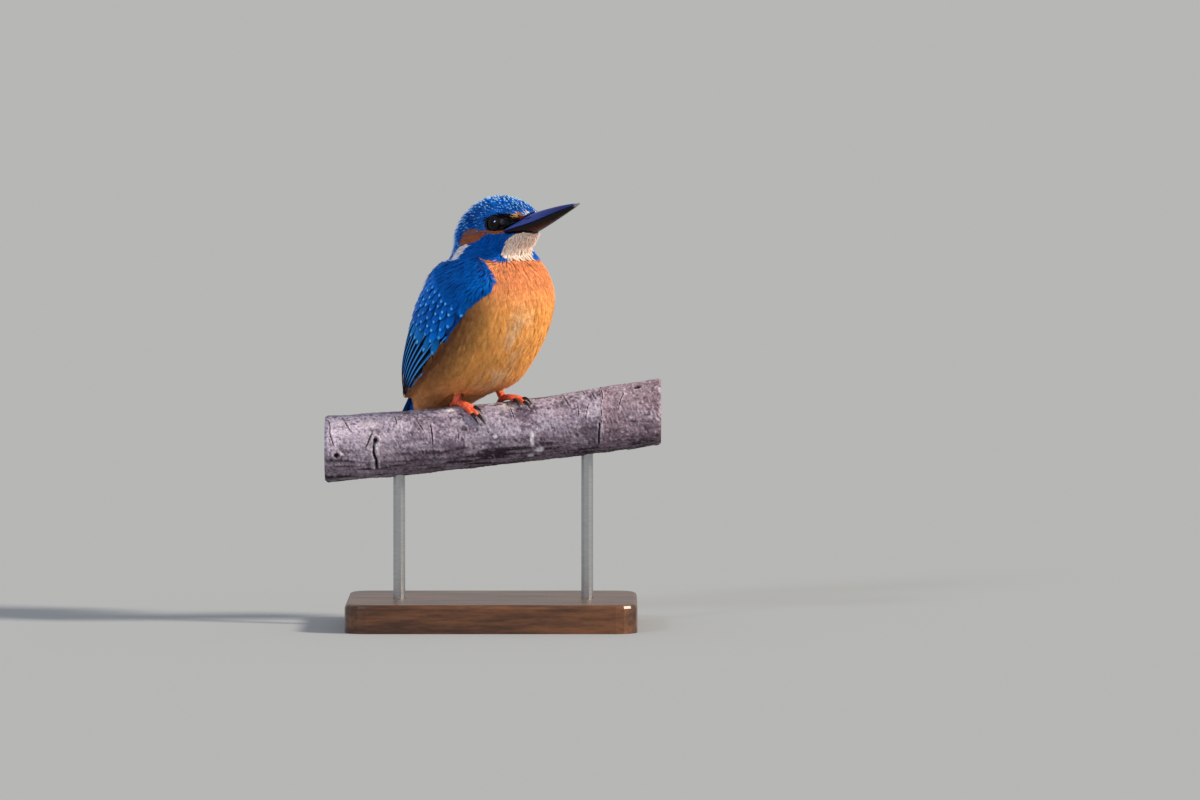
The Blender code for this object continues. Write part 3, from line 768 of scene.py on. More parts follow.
def kinds_of(points):
    """Which part of the plumage each point belongs to, as an index into KINDS, with slightly ragged edges."""
    shift = (cloud(points, 1.3, 5) - 0.5) * RAGGED
    x, y, z = moved(points, TO_SKULL).T
    along, angle = spine_chart(points)
    height = points[:, 2]
    kind = np.full(len(points), KIND["under"])
    on_head = height > THROAT_FOOT - THROAT_FALL * points[:, 1] ** 2 + shift
    kind[on_head] = np.where(x > -12.0, KIND["malar"], KIND["cap"])[on_head]
    # The throat lies under the bill, in front of a line that slants down and back.
    kind[on_head & (x - 0.86 * z > 9.3) & (x > 0.8) & (z < -4.2)] = KIND["throat"]
    kind[on_head & (z > -3.0) & (x < 13.0)] = KIND["cap"]
    # The back's blue widens from 78 degrees each way to 102 at the neck.
    back = np.abs(angle) < 78 + 24 * step(along, 40, 74) + 4 * shift
    kind[back & (height < 62) & (along < 82)] = KIND["back"]
    kind[(beyond(CAP, x, z) < shift) & (on_head | (points[:, 0] < 14))] = KIND["cap"]
    for name, outline in (("malar", MALAR), ("patch", NECK_PATCH), ("ear", EAR), ("lores", LORES)):
        kind[(beyond(outline, x, z) < shift * 0.7) & (np.abs(y) > 1.0)] = KIND[name]
    kind[beyond(EYE_LINE_LOW, x, z) < 0] = KIND["ear"]
    for name, outline in (("ear", LORAL_SPOT), ("patch", FOREHEAD_SPOT), ("red", BILL_SPOT)):
        kind[(beyond(outline, x, z) < 0.1) & (np.abs(y) > 1.5)] = KIND[name]
    kind[(height <= 62) & (kind == KIND["cap"])] = KIND["back"]
    return kind


def colours_of(points, kind):
    """The plumage's colour at each point."""
    x, _, z = moved(points, TO_SKULL).T
    along, angle = spine_chart(points)
    angle = np.abs(angle)
    height = points[:, 2]
    broad = cloud(points, 5.0, 1)
    fine = cloud(points, 1.6, 2)
    colour = mix(PLUMAGE["orange"], PLUMAGE["breast"], step(height, 42, 58))
    colour = mix(colour, PLUMAGE["belly"], step(height, 26, 8))
    # Pale inner down shows where the breast parts, and low on the belly; the sides of the breast are painted
    # brown as shade beside the wings.
    crease = step(np.abs(points[:, 1] + 3.5), 9.0, 2.0) * step(height, 8, 20) * step(height, 54, 40)
    colour = mix(colour, PLUMAGE["pale"], 0.85 * crease * step(broad + 0.4 * fine, 0.45, 0.85))
    colour = mix(colour, PLUMAGE["pale"], 0.45 * step(height, 16, 2) * step(broad, 0.3, 0.8))
    colour = mix(colour, PLUMAGE["brown"], 0.9 * step(np.abs(points[:, 1]), 14, 24) * step(height, 58, 46))
    colour = colour * (0.88 + 0.24 * fine[:, None])
    cap = mix(PLUMAGE["deep blue"], PLUMAGE["mid blue"], 0.2 + 0.8 * broad) * (0.6 + 0.8 * fine[:, None])
    back = mix(PLUMAGE["mid blue"], PLUMAGE["azure"], step(angle, 62, 28))
    back = mix(back, PLUMAGE["pale azure"], 0.7 * step(angle, 26, 6) * step(along, 66, 40))
    # The upper part of the ear coverts is painted darker and mauve, as shade under the crown.
    ear = mix(PLUMAGE["rufous"], PLUMAGE["painted ear shade"], step(z, -3.6, -1.6))
    ear = mix(ear, PLUMAGE["gold"], step(x, 6.0, 9.0))
    # The loral spot's pale core is a painted highlight.
    ear = mix(ear, PLUMAGE["pale"], step(np.hypot(x - 10.6, z - 2.0), 1.1, 0.5))
    # The lores are painted with a small pale glint in front of the eye.
    eye_corner_glint = 0.8 * step(np.hypot(x - 5.0, z - 0.2), 1.2, 0.4)
    looks = {
        "cap": cap,
        "lores": mix(PLUMAGE["black"], PLUMAGE["eye corner glint"], eye_corner_glint),
        "ear": ear,
        "malar": mix(PLUMAGE["mid blue"], PLUMAGE["deep blue"], 0.15 + 0.7 * fine),
        "patch": PLUMAGE["white"],
        "throat": PLUMAGE["cream"],
        "back": back,
        "red": PLUMAGE["red"],
    }
    for name, look in looks.items():
        chosen = kind == KIND[name]
        colour[chosen] = np.broadcast_to(look, colour.shape)[chosen]
    return colour


# The coat's lie


def guided(points):
    """The coat over each point: (way it lies, its depth, its feathers' length)."""
    spots, ways, depths, lengths = (np.array(column) for column in zip(*GUIDES))
    mirrored = points.copy()
    mirrored[:, 1] = np.abs(points[:, 1])
    gap = np.linalg.norm(mirrored[:, None, :] - spots, axis=2)
    weight = 1 / (gap + 0.5) ** 4
    weight /= weight.sum(axis=1, keepdims=True)
    way = weight @ unit(ways)
    way[:, 1] *= np.where(points[:, 1] < 0, -1.0, 1.0)
    return unit(way), weight @ depths, weight @ lengths


def tree_of(points):
    """The points sorted for finding the nearest."""
    made = kdtree.KDTree(len(points))
    for index, point in enumerate(points):
        made.insert(point, index)
    made.balance()
    return made


def dot(first, second):
    """Dot products, as a column to scale vectors by."""
    return np.einsum("...i,...i->...", first, second)[..., None]


def onto(surface, points):
    """The points dropped on the surface, and its normals there."""
    ground, normals, tree = surface
    near = [tree.find(point)[1] for point in points]
    return points - normals[near] * dot(points - ground[near], normals[near]), normals[near]


def spread(points, gap, seed):
    """Points picked at random, each at least its own gap from the others."""
    gaps = np.broadcast_to(gap, len(points))
    tree = tree_of(points)
    free = np.ones(len(points), bool)
    picked = []
    for index in np.random.default_rng(seed).permutation(len(points)):
        if not free[index]:
            continue
        picked.append(index)
        for _, near, _ in tree.find_range(points[index], gaps[index]):
            free[near] = False
    return points[picked]


def lay(surface, roots, lengths, turns, ways):
    """Walks each feather's centre-line over the surface: its (places, ways, normals) at each step."""
    lines = []
    spot, normal = onto(surface, roots)
    for _ in range(FEATHER_STEPS + 1):
        way = guided(spot)[0] if ways is None else ways
        way = unit(way - normal * dot(way, normal))
        way = unit(way * np.cos(turns)[:, None] + np.cross(normal, way) * np.sin(turns)[:, None])
        lines.append((spot, way, normal))
        spot, normal = onto(surface, spot + way * (lengths / FEATHER_STEPS)[:, None])
    return [np.stack(values, 1) for values in zip(*lines)]


# One vane and one tuft, as (across -1 to 1, along 0 to 1, height in thicknesses)


def arrays_of(made):
    """(points, triangles) of a bmesh, which it frees."""
    bmesh.ops.triangulate(made, faces=made.faces)
    bmesh.ops.recalc_face_normals(made, faces=made.faces)
    made.verts.ensure_lookup_table()
    points = np.array([vert.co for vert in made.verts])
    faces = np.array([[vert.index for vert in face.verts] for face in made.faces])
    made.free()
    return points, faces


def vane_shape(columns, rows, narrow, round_off, notch, taper=0.0):
    """A closed feather vane: narrow at the quill, rounded and slightly notched at the tip, arched across."""
    made = bmesh.new()
    bmesh.ops.create_grid(made, x_segments=columns, y_segments=rows, size=1.0)
    for vert in made.verts:
        across = vert.co.x
        along = (vert.co.y + 1) / 2
        column = round((across + 1) / 2 * columns)
        # Widens from the quill to 0.6 of its length, may taper from 0.3 on, and rounds off from 0.72.
        widen = narrow + (1 - narrow) * math.sin(min(along / 0.6, 1.0) * math.pi / 2)
        widen *= 1 - taper * max(along - 0.3, 0.0) / 0.7
        widen *= 1 - 0.35 * (max(along - 0.72, 0.0) / 0.28) ** 2
        short = round_off * across * across + (notch if column % 2 else 0.0)
        vert.co = (across * widen, along * (1 - short), 0.0)
    bmesh.ops.solidify(made, geom=list(made.faces), thickness=1.0)
    bmesh.ops.remove_doubles(made, verts=made.verts, dist=MERGE)
    points, faces = arrays_of(made)
    points[:, 2] += 1.6 * (1 - points[:, 0] ** 2)
    return points, faces


def tuft_shape(barbs, fan, thick, seed):
    """A fan of three-sided barbs that share a quill, their tips on an uneven arc."""
    chance = np.random.default_rng(seed)
    made = bmesh.new()
    for number in range(barbs):
        lean = (number + 0.5) / barbs * 2 - 1
        reach = 1 - 0.2 * lean * lean - 0.09 * chance.random()
        barb = bmesh.new()
        bmesh.ops.create_cone(barb, cap_ends=True, segments=3, radius1=1.0, radius2=0.0, depth=1.0)
        geometry = barb.verts[:] + barb.edges[:] + barb.faces[:]
        bmesh.ops.bisect_plane(barb, geom=geometry, plane_co=(0, 0, 0.05), plane_no=(0, 0, 1))
        for vert in barb.verts:
            along = vert.co.z + 0.5
            slim = 1.0 if along > 0.3 else 0.75
            swell = 1.5 if 0.3 < along < 0.9 else 1.0
            across = lean * fan * (0.3 + 0.7 * along**1.2) + vert.co.x * thick * slim * swell
            height = 1.2 * (1 - lean * lean) + vert.co.y * 0.55
            vert.co = (across, along * reach, height)
        data = mesh_from(barb, "barb")
        made.from_mesh(data)
        bpy.data.meshes.remove(data)
    return arrays_of(made)


def tufts_of(name):
    """The shapes of one kind of tuft."""
    barbs, fan, thick, seeds = TUFTS[name]
    return [tuft_shape(barbs, fan, thick, seed) for seed in seeds]


def grow(shapes, lines, width, lift, thick, tint, seed, mark=0.0, flip=1.0, tilt=0.0):
    """Sets one of the shapes on every centre-line, and joins them in one mesh.

    Width, lift, tint, mark and tilt are the same for all, or one for each feather. A mark is a colour and
    its strength.
    """
    count, steps = lines[0].shape[0], lines[0].shape[1] - 1
    widths, lifts, tilts = (np.broadcast_to(value, count)[:, None] for value in (width, lift, tilt))
    chance = np.random.default_rng(seed)
    choice = chance.integers(len(shapes), size=count)
    own = chance.random(count)[:, None]
    parts = []
    total = 0
    for number, (shape, triangles) in enumerate(shapes):
        chosen = np.flatnonzero(choice == number)
        across, along, height = shape.T
        place = np.clip(along, 0, 1) * steps
        low = np.minimum(place.astype(int), steps - 1)
        part = (place - low)[:, None]
        centre, way, normal = (
            line[chosen][:, low] * (1 - part) + line[chosen][:, low + 1] * part for line in lines
        )
        way, normal = unit(way), unit(normal)
        # A feather lifts off towards its tip, and a tilted one is turned a little about its shaft.
        rise = lifts[chosen] * along**0.85 + height * thick
        rise = rise + tilts[chosen] * across * np.minimum(along * 6, 1)
        aside = across * widths[chosen] / 2
        points = centre + np.cross(normal, way) * aside[..., None] + normal * rise[..., None]
        first = total + np.arange(len(chosen)) * len(shape)
        total += len(chosen) * len(shape)
        vane = np.stack(np.broadcast_arrays(across * flip, along, own[chosen]), axis=-1)
        faces = triangles + first[:, None, None]
        owners = np.repeat(chosen, len(shape))
        parts.append((points.reshape(-1, 3), faces.reshape(-1, 3), vane.reshape(-1, 3), owners))
    points, faces, vanes, owners = (np.concatenate(values) for values in zip(*parts))
    data = mesh_of(points, faces)
    colour_layer(data, "tint", np.broadcast_to(tint, (count, 3))[owners])
    colour_layer(data, "mark", np.broadcast_to(mark, (count, 4))[owners])
    vector_layer(data, "vane", vanes)
    bake_layer(data, lines[0][:, 0][owners], vanes, faces)
    return data


def bake_layer(data, roots, vanes, faces):
    """Unwraps the coat: each feather a small patch where its root lies on the skin, round it and along it."""
    layer = data.uv_layers.new(name="OFBake")
    along, angle = spine_chart(roots)
    place = np.stack((0.5 + angle / 400, 0.1 + (along + 60) / 230), axis=1)
    place += np.stack((vanes[:, 0] * 0.5, vanes[:, 1]), axis=1) * PATCH
    layer.data.foreach_set("uv", place[faces.ravel()].astype(np.float32).ravel())


def grown(surface, roots, shapes, width, length, lift, thick, tint, seed, mark=0.0, ways=None, wild=0.12):
    """Feathers of uneven size and lie grown from the roots, as one mesh, the coat's way or the way given."""
    chance = np.random.default_rng(seed)
    turns = chance.normal(0, wild, len(roots))
    length = length * chance.uniform(0.88, 1.12, len(roots))
    lift = lift * chance.uniform(0.92, 1.12, len(roots))
    lines = lay(surface, roots, length, turns, ways)
    width = width * chance.uniform(0.9, 1.1, len(roots))
    return grow(shapes, lines, width, lift, thick, tint, seed, mark)


# Skin


def flesh_mesh():
    """The flesh nodes fused into one closed surface, before it is drawn in under the coat."""
    whole = bmesh.new()
    for name in FLESH:
        part = cad_copy(name)
        outward = SIDES.get(name.removeprefix("wing_"), 0.0)
        for vert in part.verts:
            rooted = vert.normal.y * outward < -0.2
            vert.co += vert.normal * (WING_ROOTING if rooted else SEAM_CLOSE)
        data = mesh_from(part, name)
        whole.from_mesh(data)
        bpy.data.meshes.remove(data)
    return with_modifier(mesh_from(whole, "flesh"), "REMESH", mode="VOXEL", voxel_size=SKIN_VOXEL)


def part_of(points):
    """0 for body, 1 for a wing, 2 for the tail: the CAD piece that each point is nearest."""
    nearest = np.full(len(points), 1e9)
    part = np.zeros(len(points), int)
    for name in FLESH:
        made = cad_copy(name)
        tree = BVHTree.FromBMesh(made)
        gap = np.array([tree.find_nearest(point)[3] for point in points])
        closer = gap < nearest
        part[closer] = {"wing_right": 1, "wing_left": 1, "tail": 2}.get(name, 0)
        nearest[closer] = gap[closer]
        made.free()
    return part


def leg_mesh(name):
    """A leg finely remeshed, its scutes as low rings round the tarsus and toes."""
    data = with_modifier(mesh_from(cad_copy(name), name), "REMESH", mode="VOXEL", voxel_size=LEG_VOXEL)
    points = even(points_of(data), edges_of(data), 3)
    set_points(data, points)
    normal = normals_of(data)
    low, high = points.min(axis=0), points.max(axis=0)
    foot = np.array(((low[0] + high[0]) / 2, (low[1] + high[1]) / 2, low[2] + 2.0))
    reach = np.linalg.norm(points - foot, axis=1)
    ridge = np.abs(np.sin(reach / LEG_RING * math.pi)) ** 0.5
    swell = RING_HEIGHT * (ridge - 0.6) * step(normal[:, 2], -0.5, 0.3)
    set_points(data, points + normal * swell[:, None])
    return data


def lid_mesh(side):
    """The bare lids of an eye: a band of skin over the ball, its opening a little longer than high."""
    corners = len(LID_PROFILE)
    made = bmesh.new()
    bmesh.ops.create_grid(made, x_segments=LID_CORNERS, y_segments=corners, size=1.0)
    for vert in made.verts:
        angle = (vert.co.x + 1) * math.pi
        across, up = math.cos(angle), math.sin(angle)
        reach, thick = LID_PROFILE[round((vert.co.y + 1) / 2 * corners) % corners]
        opening = math.asin(1 / math.hypot(across / LID_REACH, up / LID_HEIGHT) / EYE_RADIUS)
        bend = opening + (LID_FOOT - opening) * reach
        out, aside = (EYE_RADIUS + thick) * math.cos(bend), (EYE_RADIUS + thick) * math.sin(bend)
        vert.co = SKULL @ Vector((across * aside, SIDES[side] * (EYE_SIDE + out), up * aside))
    bmesh.ops.remove_doubles(made, verts=made.verts, dist=MERGE)
    bmesh.ops.recalc_face_normals(made, faces=made.faces)
    return mesh_from(made, "lid_" + side)


def skin():
    """Builds the one skin piece, and gives the ground that the coat grows from."""
    data = flesh_mesh()
    edges = edges_of(data)
    points = even(points_of(data), edges, 2)
    set_points(data, points)
    normal = unit(even(normals_of(data), edges, 4))
    part = part_of(points)
    x, y, z = moved(points, TO_SKULL).T
    depth = guided(points)[1]
    depth[part == 1] = WING_DEPTH
    depth[part == 2] = TAIL_DEPTH
    depth[(np.hypot(x, z) < 5.0) & (np.abs(y) > 5)] = FACE_DEPTH
    depth = even(depth[:, None], edges, 5)
    points = even(points - normal * (depth + SEAM_CLOSE), edges, 3)
    set_points(data, points)
    normal = unit(even(normals_of(data), edges, 3))
    ground = {"surface": (points, normal, tree_of(points)), "part": part, "kind": kinds_of(points)}
    legs = [leg_mesh(name) for name in LEGS]
    made = united([data, *legs, *(lid_mesh(side) for side in SIDES)])
    paint_skin(made, ground)
    piece(made, "skin", "skin", FLESH + LEGS, sharp=70)
    return ground


def paint_skin(data, ground):
    """The coat's own colours under the coat, painted darker as its shade; orange red on bare feet, with
    blotches of painted highlight; dark lids round the eyes.
    """
    points = points_of(data)
    tree = ground["surface"][2]
    near, gap = np.array([tree.find(point)[1:] for point in points]).T
    own = ground["part"][near.astype(int)]
    # Painted shade: skin under the coat is darker than the coat, darker still under wings and tail.
    colour = colours_of(points, kinds_of(points)) * 0.8
    colour[own == 1] = PLUMAGE["deep blue"] * 0.6
    colour[own == 2] = PLUMAGE["deep blue"] * 0.7
    bare = gap > BARE_GAP
    on_head = points[:, 2] > 60
    # Painted highlight: a lighter orange in random blotches over the feet.
    foot = mix(BARE["foot"], BARE["toe"], cloud(points, 0.8, 9))
    colour[bare & ~on_head] = foot[bare & ~on_head]
    colour[bare & on_head] = BARE["lid"]
    colour_layer(data, "tint", colour)


# Coat


def roots_for(ground, names, gap, seed, tail_above=math.inf):
    """Skin points where feathers of these kinds grow, clear of the eyes and the bill.

    The gap between them is one value, or one for each point of the ground. Those on the tail are above a
    height.
    """
    points = ground["surface"][0]
    x, y, z = moved(points, TO_SKULL).T
    on_tail = (ground["part"] == 2) & (points[:, 2] > tail_above)
    wanted = np.isin(ground["kind"], [KIND[name] for name in names]) & ((ground["part"] == 0) | on_tail)
    around_eye = (np.hypot(x / 1.07, z * 1.2) < EYE_CLEAR) & (np.abs(y) > 6)
    around_bill = x > np.where(z < -4, 16.4, 15.0)
    wanted &= ~around_eye & ~around_bill
    return spread(points[wanted], np.broadcast_to(gap, len(points))[wanted], seed)


def coat_piece(ground, name, roots, tuft, width, thick, finish, mark=0.0, longer=1.0, raised=0.0):
    """Tufts from the roots along the coat's lie, their width a share of their length."""
    _, depth, length = guided(roots)
    length = length * longer
    tint = colours_of(roots, kinds_of(roots))
    shapes = tufts_of(tuft)
    surface = ground["surface"]
    data = grown(surface, roots, shapes, width * length, length, depth + raised, thick, tint, len(name), mark)
    piece(data, name, finish)


def raised_face(roots):
    """How much further the face's feathers stand off, close round the eye."""
    x, y, z = moved(roots, TO_SKULL).T
    return 0.7 * step(np.hypot(x, z), 6.5, 4.0) * step(np.abs(y), 5, 7)


def raised_crown(roots):
    """The same, and more at the back of the head."""
    x, _, z = moved(roots, TO_SKULL).T
    return 0.3 + 0.9 * step(x, 4, -8) * step(z, -8, 2) + raised_face(roots)


def crown_marks(roots):
    """Pale blue bars of uneven strength; on top of the head and at the front they are painted stronger and
    whiter, as glints of light.
    """
    chance = np.random.default_rng(2).random(len(roots))
    x, _, z = moved(roots, TO_SKULL).T
    top = step(z, 2, 10)
    front = step(x, 1, 12)
    # bright is the top and front of the head, where the bars are painted as glints.
    bright = np.maximum(top, front)
    shown = chance > 0.6 - 0.2 * top - 0.4 * front
    strength = np.where(shown, 0.4 + 0.6 * chance * (0.4 + 0.6 * bright), 0.0)
    return np.column_stack((mix(PLUMAGE["spot"], PLUMAGE["crown glint"], bright * chance**1.5), strength))


def head_coat(ground):
    """Crown, moustache, ear and lores, and the white throat with its neck patches."""
    roots = roots_for(ground, ("cap",), 0.95, 1)
    right = roots[:, 1] < 0
    for name, own in (("coat_crown_right", roots[right]), ("coat_crown_left", roots[~right])):
        coat_piece(
            ground, name, own, "crown", 0.5, 0.12, "barred blue",
            mark=crown_marks(own), raised=raised_crown(own),
        )
    roots = roots_for(ground, ("malar",), 0.85, 3)
    coat_piece(ground, "coat_malar", roots, "face", 0.55, 0.11, "soft blue", longer=1.15)
    roots = roots_for(ground, ("ear", "red"), 0.72, 4)
    raised = raised_face(roots)
    coat_piece(ground, "coat_ear", roots, "face", 0.65, 0.1, "soft orange", raised=raised)
    roots = roots_for(ground, ("lores",), 0.6, 5)
    raised = raised_face(roots)
    coat_piece(ground, "coat_lores", roots, "lores", 0.7, 0.08, "soft black", raised=raised)
    roots = roots_for(ground, ("throat", "patch"), 0.85, 6)
    coat_piece(ground, "coat_throat", roots, "face", 0.62, 0.12, "soft white")


def under_coat(ground):
    """Breast and belly, denser and closer lying above than below."""
    gap = 1.1 - 0.3 * step(ground["surface"][0][:, 2], 38, 52)
    roots = roots_for(ground, ("under",), gap, 7, tail_above=-8)
    upper = roots[:, 2] > 38
    right = roots[:, 1] < 0
    parts = {
        "coat_breast_right": upper & right,
        "coat_breast_left": upper & ~right,
        "coat_belly_right": ~upper & right,
        "coat_belly_left": ~upper & ~right,
    }
    for name, chosen in parts.items():
        own = roots[chosen]
        raised = -0.35 * step(own[:, 2], 34, 52)
        coat_piece(
            ground, name, own, "under", 0.42, 0.1, "soft orange", longer=1.2, raised=raised
        )


def back_coat(ground):
    """The bright stripe down the back, as far as the root of the tail."""
    roots = roots_for(ground, ("back",), 1.15, 8, tail_above=2)
    coat_piece(ground, "coat_back", roots, "back", 0.55, 0.12, "soft blue")


# Wings and tail


def unrolled(down, share):
    """The flat chart of a wing, in millimetres down and across it."""
    return np.stack((down, share * WING_ARC, np.zeros(len(down))), axis=1)


def wing_chart(ground, side):
    """The wing's outer skin unrolled: each point's way down it, and its share from back to belly edge."""
    points, normals, _ = ground["surface"]
    wing = (ground["part"] == 1) & (points[:, 1] * SIDES[side] > 0)
    facing = normals[:, 1] * SIDES[side]
    outer = wing & (facing > -0.1)
    rim = wing & (facing < 0.3)
    front = rim & (normals[:, 0] > 0.1) & (points[:, 2] > 30)
    upper = rim & ((normals @ SPINE_BACK > 0.1) | (normals[:, 0] < -0.3))
    along, angle = spine_chart(points[outer])
    down = WING_TOP - along
    angle = np.abs(angle)
    belts = [belt for belt in np.arange(2.0, down.max() - 1.5, 3.0) if np.sum(np.abs(down - belt) < 2.0) > 8]
    ends = [np.percentile(angle[np.abs(down - belt) < 2.0], (3, 97)) for belt in belts]
    low, high = (np.interp(down, belts, end) for end in zip(*ends))
    share = (angle - low) / np.maximum(high - low, 1.0)
    return {
        "places": points[outer],
        "normals": normals[outer],
        "edge": points[upper],
        "front": points[front],
        "down": down,
        "share": share,
        "start": down.min(),
        "length": down.max(),
        "tree": tree_of(unrolled(down, share)),
    }


def on_wing(wing, down, share):
    """Places on the wing by chart, each the mean of its nearest skin points, and the way they face."""
    found, facing = [], []
    for spot in unrolled(down, share):
        near = wing["tree"].find_n(spot, 7)
        indices = [index for _, index, _ in near]
        weights = np.array([1 / (gap + 0.3) for _, _, gap in near])[:, None]
        found.append((wing["places"][indices] * weights).sum(axis=0) / weights.sum())
        facing.append(wing["normals"][indices].mean(axis=0))
    return np.array(found), unit(np.array(facing))


def wing_coverts(ground, wing, side):
    """Rows of coverts, tiled like shingles, a bright spot near most tips; the last row is longer."""
    chance = np.random.default_rng(21)
    spots = []
    for row in range(1, COVERT_ROWS):
        share = np.arange(-0.02 + 0.5 * (row % 2) * COVERT_GAP / WING_ARC, 1.0, COVERT_GAP / WING_ARC)
        share = share + chance.normal(0, 0.008, len(share))
        down = row * COVERT_STEP + 0.5 + COVERT_SLANT * row / COVERT_ROWS * (1 - share)
        spots.append((down, share, np.full(len(share), row)))
    down, share, row = (np.concatenate(values) for values in zip(*spots))
    shown = (down > wing["start"] + 12) & (share < 0.97)
    down, share, row = down[shown], share[shown], row[shown]
    roots = on_wing(wing, down, share)[0]
    last = row == COVERT_ROWS - 1
    tint = mix(PLUMAGE["deep blue"], PLUMAGE["mid blue"], 0.2 + 0.9 * cloud(roots, 6.0, 3))
    tint = mix(tint, PLUMAGE["turquoise"], 0.5 * step(share, 0.35, 0.0))
    tint[last] = PLUMAGE["turquoise"]
    strength = step(share, 0.18, 0.5) * (0.5 + 0.5 * chance.random(len(roots)))
    mark = np.column_stack((np.broadcast_to(PLUMAGE["spot"], tint.shape), strength))
    notches = (0.0, 0.02, 0.035)
    vanes = [vane_shape(columns=10, rows=8, narrow=0.45, round_off=0.16, notch=notch) for notch in notches]
    data = grown(
        ground["surface"], roots, vanes, width=3.4, length=np.where(last, 9.0, 7.2), lift=WING_DEPTH + 0.15,
        thick=0.1, tint=tint, seed=22, mark=mark, ways=WING_WAY, wild=0.06,
    )
    piece(data, "coat_wing_" + side, "spotted blue")


def shoulder_coat(ground, wing, side):
    """Small silky feathers over the wing's shoulder and wrist, and long scapulars along its upper edge."""
    tufts = tufts_of("shoulder")
    shoulder = wing["down"] < wing["start"] + 17
    scapular = (wing["share"] < 0.12) & (wing["down"] < 34) & ~shoulder
    groups = (
        ("coat_shoulder_", wing["places"][shoulder], 0.9, 2.2, 4.4, 0.25, 0.35),
        ("coat_scapular_", wing["places"][scapular], 1.2, 3.4, 9.0, 0.9, 0.7),
        ("coat_tertial_", wing["edge"], 1.1, 2.6, 7.0, 0.2, 0.2),
        ("coat_wrist_", wing["front"], 0.75, 1.8, 3.2, 0.0, 0.2),
    )
    for name, places, gap, width, length, lift, bright in groups:
        roots = spread(places, gap, 44)
        tint = mix(PLUMAGE["deep blue"], PLUMAGE["mid blue"], cloud(roots, 3.0, 3))
        tint = mix(tint, PLUMAGE["turquoise"], bright * cloud(roots, 1.5, 4))
        tint = mix(tint, PLUMAGE["flight black"], step(roots[:, 2], 30, 14))
        data = grown(
            ground["surface"], roots, tufts, width, length, lift=WING_DEPTH + lift, thick=0.12, tint=tint,
            seed=45, ways=WING_WAY, wild=0.1,
        )
        piece(data, name + side, "soft blue")


def flank_overlap(ground, wing, side):
    """Loose flank feathers that hang over the wing's belly edge."""
    places = wing["places"][(wing["share"] > 0.98) & (wing["down"] > 34) & (wing["down"] < 62)]
    roots = spread(places, 1.25, 52)
    tint = colours_of(roots, np.full(len(roots), KIND["under"])) * 1.05
    data = grown(
        ground["surface"], roots, tufts_of("flank"), width=2.6, length=4.6, lift=WING_DEPTH + 0.7, thick=0.12,
        tint=tint, seed=53, ways=FLANK_WAY, wild=0.15,
    )
    piece(data, "coat_flank_" + side, "soft orange")


def flight_feathers(wing, side):
    """Long blackish flight feathers, each with a thin bright outer edge, closing to the wing's tip."""
    rank = np.linspace(0, 1, FLIGHT_FEATHERS)[:, None]
    reach = np.linspace(0, 1, FLIGHT_STEPS + 1)
    start = COVERT_END + COVERT_SLANT * (1 - rank)
    end = wing["length"] - 1.5 - 11.0 * (1 - rank) ** 1.5
    down = start + (end - start) * reach
    share = rank * (1.04 - 0.12 * reach)
    found = on_wing(wing, down.ravel(), share.ravel())
    places, normals = (values.reshape(*down.shape, 3) for values in found)
    for values in (places, normals):
        for _ in range(4):
            values[:, 1:-1] = (values[:, :-2] + values[:, 1:-1] * 2 + values[:, 2:]) / 4
    headings = unit(np.gradient(places, axis=1))
    normals = unit(normals - headings * dot(normals, headings))
    vane = vane_shape(columns=10, rows=26, narrow=0.75, round_off=0.05, notch=0.004, taper=0.4)
    data = grow(
        [vane], (places, headings, normals), width=3.6, lift=0.75, thick=0.1, tint=PLUMAGE["flight black"],
        seed=5, mark=(*PLUMAGE["edge"], 0.95), flip=-SIDES[side], tilt=-0.38 * SIDES[side],
    )
    piece(data, "flight_" + side, "edged flight")


def tail_feathers():
    """Tail feathers in a narrow fan, the middle pair on top."""
    reach = np.linspace(0, 1, TAIL_STEPS + 1)
    corners = np.linspace(0, 1, len(TAIL_LINE))
    fans = (np.arange(TAIL_FEATHERS)[:, None] + 0.5) / TAIL_FEATHERS * 2 - 1
    x, z = (np.interp(reach, corners, values) for values in TAIL_LINE.T)
    forward, upward = unit(np.stack((np.gradient(x), np.gradient(z)), axis=1)).T
    up = np.stack((upward, np.zeros(len(reach)), -forward), axis=1)
    places = np.stack(np.broadcast_arrays(x - TAIL_SET_BACK, fans * (6.0 + 6.0 * reach), z), axis=-1)
    places = places + up * (0.9 - 0.9 * np.abs(fans))[..., None]
    normals = unit(up + fans[..., None] * (0, 0.25, 0))
    headings = unit(np.gradient(places, axis=1))
    vane = vane_shape(columns=10, rows=20, narrow=0.7, round_off=0.14, notch=0.006)
    data = grow(
        [vane], (places, headings, normals), width=5.4, lift=0.0, thick=0.12, tint=PLUMAGE["tail blue"],
        seed=6, mark=(*PLUMAGE["edge"], 0.5), tilt=0.3 * np.sign(fans[:, 0]),
    )
    piece(data, "tail_feathers", "edged tail")


# Bare parts


def eyes():
    """Glass balls, with how far each point lies off the gaze: 0 at the pupil, 1 at the ball's outline."""
    for side, outward in SIDES.items():
        made = bmesh.new()
        bmesh.ops.create_uvsphere(made, u_segments=48, v_segments=32, radius=EYE_RADIUS)
        data = mesh_from(made, "eye")
        points = points_of(data)
        gaze = unit(np.array((0.12, outward, 0.04)))
        flat = points - (points @ gaze)[:, None] * gaze
        flat[points @ gaze < 0] *= 10
        vector_layer(data, "gaze", flat / EYE_RADIUS)
        data.transform(SKULL @ Matrix.Translation((0, outward * EYE_SIDE, 0)))
        piece(data, "glass_eye_" + side, "eye", ("eye_" + side,))


